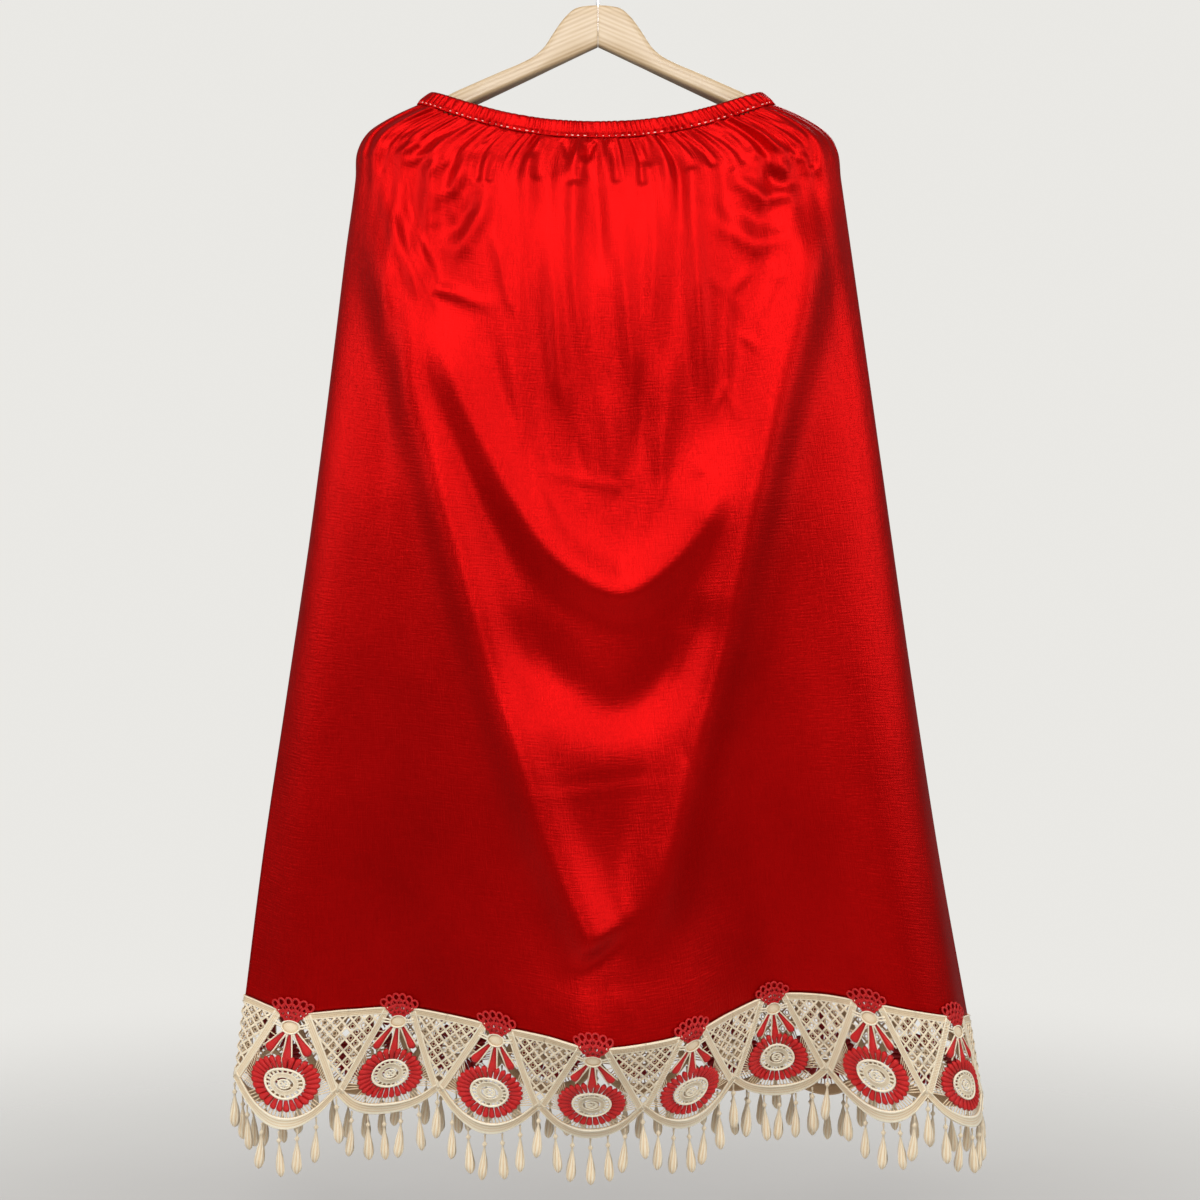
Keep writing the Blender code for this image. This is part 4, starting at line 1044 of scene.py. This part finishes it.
def make_stitches(thread):
    """A stitch in each rib near the band's lower edge, a small capsule that lies along the band."""
    count, rings, sides = BAND_GATHERS, 7, 6
    t = np.linspace(-1, 1, rings)
    place = (np.arange(count)[:, None] + 0.5 + t * STITCH_HALF) * 2 / count
    level = np.full(place.shape, STITCH_LEVEL)
    line, beyond = (band_place(place, level, np.full(place.shape, off * MM)) for off in (0.75, 1.75))
    out = unit(beyond - line)
    up = np.cross(unit(np.gradient(line, axis=1)), out)
    radius = STITCH_RADIUS * np.sqrt(np.maximum(1 - (t * 0.96) ** 2, 0))
    turn = turns(sides)[:, None]
    ring = out[:, :, None] * np.cos(turn) + up[:, :, None] * np.sin(turn)
    points = line[:, :, None] + ring * radius[None, :, None, None]
    return make_piece("waistband_stitches", points, tube_faces(count, rings, sides), thread)


def make_arm(sign, wood):
    """Half of the wooden hanger: squared oval sections along its slope, with softened edges."""
    name = "hanger_arm_" + ("left" if sign < 0 else "right")
    x = np.concatenate([[SEAM_GAP / MM / 2, 0.8], np.linspace(2, 214, 90), np.linspace(215.5, 221.5, 8)])
    top, bottom, deep = (smooth(x, column(ARM, ARM_COLUMNS, "x"), column(ARM, ARM_COLUMNS, n))
                         for n in ("top", "bottom", "half_deep"))
    sides = 40
    y, z = (np.sign(wave) * np.abs(wave) ** ARM_CORNER
            for wave in (np.cos(turns(sides, 0.5)), np.sin(turns(sides, 0.5))))
    trim = np.where(x < 0.5, 0.985, 1.0)[:, None]
    points = np.stack([
        sign * x[:, None] + 0 * y,
        deep[:, None] * y * trim,
        (top + bottom)[:, None] / 2 + (top - bottom)[:, None] / 2 * z * trim,
    ], -1) * MM
    piece = make_piece(name + "_shaped", points, tube_faces(1, len(x), sides, flip=sign < 0), wood)
    along = sign * points[..., 0]
    give_uv(piece, along * (1 + ARM_SLOPE), points[..., 2] + along * ARM_SLOPE)
    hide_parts(name)
    return piece


def make_hook(steel):
    """Bent wire: a straight shank, a small bend to one side and a round hook over the rod."""
    radius = HOOK_RADIUS + WIRE_RADIUS
    middle_z = -HOOK_RADIUS
    first = radius * np.array([math.cos(HOOK_FROM), math.sin(HOOK_FROM)]) + (0, middle_z)
    bend = first[0] / (1 - math.cos(HOOK_FROM))
    bend_z = first[1] + bend * math.sin(HOOK_FROM)
    shank = np.stack([np.zeros(8), np.linspace(BORE_BOTTOM_Z, bend_z, 9)[:-1]], -1)
    turn = math.pi + HOOK_FROM * np.linspace(0, 1, 12)[:-1]
    elbow = np.stack([bend + bend * np.cos(turn), bend_z + bend * np.sin(turn)], -1)
    turn = np.linspace(HOOK_FROM, HOOK_TO, 60)
    loop = np.stack([radius * np.cos(turn), middle_z + radius * np.sin(turn)], -1)
    path = np.concatenate([shank, elbow, loop])
    along = unit(np.gradient(path, axis=0))
    out = np.stack([along[:, 1], -along[:, 0]], -1)
    tip = math.pi / 2 * np.linspace(0.12, 1, 5)
    taper = np.concatenate([np.ones(len(path)), np.cos(tip) * 0.98 + 0.02]) * WIRE_RADIUS
    path = np.concatenate([path, path[-1] + along[-1] * np.sin(tip)[:, None] * WIRE_RADIUS])
    out = np.concatenate([out, np.repeat(out[-1:], 5, 0)])
    sides = 20
    beside, before = (taper[:, None] * wave for wave in (np.cos(turns(sides)), np.sin(turns(sides))))
    points = np.stack([path[:, :1] + out[:, :1] * beside, before, path[:, 1:] + out[:, 1:] * beside], -1)
    faces = tube_faces(1, len(path), sides)
    piece = make_piece("hanger_hook_wire", points, faces, steel)
    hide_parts("hanger_hook")
    return piece


class Signal:
    """A number that varies over a surface. Arithmetic on it adds Math nodes to its material."""

    def __init__(self, finish, socket):
        self.finish = finish
        self.socket = socket

    def math(self, operation, first, second):
        node = self.finish.node("ShaderNodeMath", {"operation": operation}, {0: first, 1: second})
        return Signal(self.finish, node.outputs[0])

    def __add__(self, other):
        return self.math("ADD", self, other)

    def __mul__(self, other):
        return self.math("MULTIPLY", self, other)

    __radd__ = __add__
    __rmul__ = __mul__


class Finish:
    """A material in the making, on one Principled shader. uniform has the values of plain sockets."""

    def __init__(self, name, uniform):
        self.material = bpy.data.materials.new(name)
        self.material.use_nodes = True
        self.tree = self.material.node_tree
        self.shader = self.tree.nodes["Principled BSDF"]
        for socket, value in uniform.items():
            self.shader.inputs[socket].default_value = value

    def node(self, kind, settings=None, inputs=None):
        """Adds a node: its settings first, then a value, link or signal for each named socket."""
        made = self.tree.nodes.new(kind)
        for name, value in (settings or {}).items():
            setattr(made, name, value)
        for name, value in (inputs or {}).items():
            self.put(made.inputs[name], value)
        return made

    def put(self, socket, value):
        value = value.socket if isinstance(value, Signal) else value
        if isinstance(value, bpy.types.NodeSocket):
            self.tree.links.new(value, socket)
        else:
            socket.default_value = value

    def place(self, stretch, on_cloth=True):
        """The place on the cloth, or in the object, times a stretch on each axis."""
        source = self.node("ShaderNodeTexCoord").outputs["UV" if on_cloth else "Object"]
        return self.node("ShaderNodeMapping", None, {"Vector": source, "Scale": stretch}).outputs[0]

    def noise(self, stretch, detail=3.0, on_cloth=True):
        """Cloudy noise with this many spots to a metre on each axis."""
        inputs = {"Vector": self.place(stretch, on_cloth), "Scale": 1.0, "Detail": detail}
        return Signal(self, self.node("ShaderNodeTexNoise", None, inputs).outputs[0])

    def bands(self, stretch, scale, distortion, direction):
        """Wavy bands across the cloth."""
        settings = {"wave_type": "BANDS", "bands_direction": direction}
        inputs = {"Vector": self.place(stretch), "Scale": scale, "Distortion": distortion, "Detail": 1.0}
        return Signal(self, self.node("ShaderNodeTexWave", settings, inputs).outputs["Fac"])

    def rise(self):
        """How far the point stands out of the work, as stored by give_rise_for_painted_shade."""
        return Signal(self, self.node("ShaderNodeAttribute", {"attribute_name": "rise"}).outputs["Fac"])

    def colour(self, signal, *stops):
        """A base colour that changes with a signal, through stops of place and colour."""
        node = self.node("ShaderNodeValToRGB", None, {"Fac": signal})
        stop_list = node.color_ramp.elements
        while len(stop_list) < len(stops):
            stop_list.new(0.5)
        for stop, (at, colour) in zip(stop_list, stops):
            stop.position = at
            stop.color = (*colour, 1)
        self.feed("Base Color", node.outputs[0])

    def feed(self, name, value):
        self.put(self.shader.inputs[name], value)

    def bump(self, height, distance, strength=1.0):
        inputs = {"Height": height, "Distance": distance, "Strength": strength}
        self.feed("Normal", self.node("ShaderNodeBump", None, inputs).outputs[0])


def satin_finish():
    """Red satin: deep red with a tinted shine, fine long threads, and slightly uneven lustre."""
    finish = Finish("red_satin", {"Metallic": 0.72, "Specular IOR Level": 0.12})
    threads = finish.noise((700, 60, 1), 2.0)
    slubs = finish.noise((60, 600, 1), 2.0)
    cloud = finish.noise((9, 9, 1), 4.0)
    grain = threads * 0.6 + slubs * 0.4
    finish.colour(grain * 0.35 + cloud * 0.65, (0.25, (0.37, 0.0005, 0.0005)),
                  (0.5, (0.46, 0.001, 0.001)), (0.78, (0.55, 0.002, 0.002)))
    finish.feed("Roughness", 0.33 + 0.12 * grain + 0.05 * cloud)
    finish.bump(grain, 0.0008, 0.8)
    return finish.material


def cream_finish():
    """Cream embroidery thread: fine twist lines, and painted warm shade in the hollows, darker and browner
    where the work lies low.
    """
    finish = Finish("cream_thread", {
        "Sheen Weight": 0.3, "Sheen Roughness": 0.5, "Specular IOR Level": 0.45})
    twist = finish.bands((1, 1, 1), 420, 2.0, "DIAGONAL")
    fuzz = finish.noise((700, 700, 1))
    yarn = twist * 0.55 + fuzz * 0.45
    # Painted shade: the colour runs from dark brown to pale cream with each point's height, so low cords
    # and the cords' lower sides come out shaded
    finish.colour(yarn * 0.4 + finish.rise() * 0.6, (0.12, (0.42, 0.23, 0.10)),
                  (0.42, (0.88, 0.66, 0.40)), (0.72, (1.0, 0.91, 0.71)))
    finish.feed("Roughness", 0.62 + 0.2 * fuzz)
    finish.bump(yarn, 0.0006, 0.8)
    return finish.material


def silk_finish():
    """Red embroidery silk on the lace, with painted shade: darker red where the work lies low."""
    finish = Finish("red_silk", {"Specular IOR Level": 0.35})
    twist = finish.bands((1, 1, 1), 380, 3.0, "DIAGONAL")
    fuzz = finish.noise((800, 800, 1))
    yarn = twist * 0.5 + fuzz * 0.5
    # Painted shade: the red darkens with low height above the cloth, on the lower stitches and the
    # stitches' lower sides
    finish.colour(yarn * 0.6 + finish.rise() * 0.4, (0.15, (0.12, 0.0, 0.001)),
                  (0.45, (0.38, 0.001, 0.003)), (0.75, (0.64, 0.012, 0.012)))
    finish.feed("Roughness", 0.36 + 0.2 * fuzz)
    finish.bump(yarn, 0.0006, 0.8)
    return finish.material


def stitch_finish():
    """Shiny pink sewing thread."""
    finish = Finish("stitch_thread", {"Specular IOR Level": 0.5})
    fuzz = finish.noise((900, 900, 900), 2.0, on_cloth=False)
    finish.colour(fuzz, (0.2, (0.95, 0.36, 0.30)), (0.8, (1.0, 0.66, 0.58)))
    finish.feed("Roughness", 0.3 + 0.2 * fuzz)
    return finish.material


def wood_finish():
    """Pale lacquered wood: long grain along the arm, finer pores, and a clear coat."""
    finish = Finish("pale_wood", {
        "Coat Weight": 0.35, "Coat Roughness": 0.2, "Specular IOR Level": 0.45})
    grain = finish.noise((14, 260, 1), 5.0)
    rings = finish.bands((3, 60, 1), 1.2, 5.0, "Y")
    pores = finish.noise((90, 1800, 1), 2.0)
    tone = grain * 0.5 + rings * 0.3 + pores * 0.2
    finish.colour(tone, (0.2, (0.34, 0.22, 0.11)), (0.5, (0.47, 0.34, 0.20)), (0.8, (0.55, 0.43, 0.28)))
    finish.feed("Roughness", 0.42 + 0.15 * pores)
    finish.bump(tone, 0.0003, 0.3)
    return finish.material


def steel_finish():
    """Bright wire with fine drawn lines."""
    finish = Finish("bright_steel", {"Metallic": 1.0})
    lines = finish.noise((300, 300, 300), on_cloth=False)
    finish.colour(lines, (0.3, (0.58, 0.58, 0.60)), (0.7, (0.78, 0.78, 0.79)))
    finish.feed("Roughness", 0.2 + 0.15 * lines)
    finish.bump(lines, 0.0001, 0.3)
    return finish.material


def make_stage():
    """A pale floor below the hem, a round sheet that fades out at its rim into the backdrop."""
    finish = Finish("pale_floor", {"Roughness": 0.9})
    grain = finish.noise((3, 3, 3), on_cloth=False)
    finish.colour(grain, (0.3, (0.72, 0.70, 0.68)), (0.7, (0.76, 0.74, 0.72)))
    place = finish.node("ShaderNodeTexCoord").outputs["Object"]
    flat = finish.node("ShaderNodeVectorMath", {"operation": "MULTIPLY"}, {0: place, 1: (1, 1, 0)})
    far = finish.node("ShaderNodeVectorMath", {"operation": "LENGTH"}, {0: flat.outputs[0]})
    fade = finish.node("ShaderNodeMapRange", {"interpolation_type": "SMOOTHSTEP"}, {
        "Value": far.outputs["Value"], "From Min": FLOOR_FADE[0], "From Max": FLOOR_FADE[1]})
    clear = finish.node("ShaderNodeBsdfTransparent")
    mixed = finish.node("ShaderNodeMixShader", None, {
        "Fac": fade.outputs[0], 1: finish.shader.outputs[0], 2: clear.outputs[0]})
    finish.tree.links.new(mixed.outputs[0], finish.tree.nodes["Material Output"].inputs["Surface"])
    turn, radius = np.meshgrid(turns(48), np.linspace(0.02, FLOOR_FADE[1], 10))
    points = np.stack([radius * np.cos(turn), radius * np.sin(turn), np.full(turn.shape, FLOOR_Z)], -1)
    mesh = bpy.data.meshes.new("floor")
    faces = grid_faces(10, 48, closed_columns=True, flip=True).tolist()
    mesh.from_pydata(points.reshape(-1, 3), [], [*faces, list(range(48))])
    mesh.materials.append(finish.material)
    floor = bpy.data.objects.new("floor", mesh)
    bpy.context.scene.collection.objects.link(floor)


def make_lights():
    """Soft boxes, and a world that is dim as a light and pale as a backdrop."""
    for row in LIGHTS:
        light = dict(zip(LIGHT_COLUMNS, row))
        data = bpy.data.lights.new(light["name"], "AREA")
        data.shape = "RECTANGLE"
        data.size = light["wide"]
        data.size_y = light["tall"]
        data.energy = light["watts"]
        lamp = bpy.data.objects.new(light["name"], data)
        lamp.location = light["at"]
        lamp.visible_camera = False
        direction = np.array(light["aim"]) - np.array(light["at"])
        yaw = math.atan2(direction[1], direction[0]) - math.pi / 2
        pitch = math.atan2(direction[2], math.hypot(direction[0], direction[1])) + math.pi / 2
        lamp.rotation_euler = (pitch, 0, yaw)
        bpy.context.scene.collection.objects.link(lamp)
    world = bpy.data.worlds.new("studio")
    world.use_nodes = True
    tree = world.node_tree
    light = tree.nodes["Background"]
    light.inputs["Color"].default_value = (*BACKDROP, 1)
    light.inputs["Strength"].default_value = WORLD_LIGHT
    seen = tree.nodes.new("ShaderNodeBackground")
    seen.inputs["Color"].default_value = (*BACKDROP, 1)
    path = tree.nodes.new("ShaderNodeLightPath")
    mixed = tree.nodes.new("ShaderNodeMixShader")
    tree.links.new(path.outputs["Is Camera Ray"], mixed.inputs["Fac"])
    tree.links.new(light.outputs[0], mixed.inputs[1])
    tree.links.new(seen.outputs[0], mixed.inputs[2])
    tree.links.new(mixed.outputs[0], tree.nodes["World Output"].inputs["Surface"])
    bpy.context.scene.world = world


def make_camera():
    """The photograph's view: level, straight at the front."""
    data = bpy.data.cameras.new("photo_view")
    data.sensor_width = SENSOR
    data.lens = SENSOR / 2 / (FRAME_HALF / abs(CAMERA_AT[1]))
    camera = bpy.data.objects.new("photo_view", data)
    camera.location = CAMERA_AT
    camera.rotation_euler = (math.pi / 2, 0, 0)
    bpy.context.scene.collection.objects.link(camera)
    bpy.context.scene.camera = camera


def build():
    satin, cream, silk = satin_finish(), cream_finish(), silk_finish()
    front = make_panel("skirt_front", -1, FRONT_GRID, satin)
    back = make_panel("skirt_back", 1, BACK_GRID, satin)
    band = make_waistband(satin)
    stitches = make_stitches(stitch_finish())
    lace_front = make_lace("lace_front", -1, cream, silk)
    lace_back = make_lace("lace_back", 1, cream, silk)
    drops_front = make_drops("fringe_front", -1, cream)
    drops_back = make_drops("fringe_back", 1, cream)
    wood = wood_finish()
    make_arm(-1, wood)
    make_arm(1, wood)
    make_hook(steel_finish())


make_camera()
build()
make_stage()
make_lights()
bpy.context.scene.view_settings.view_transform = "Standard"
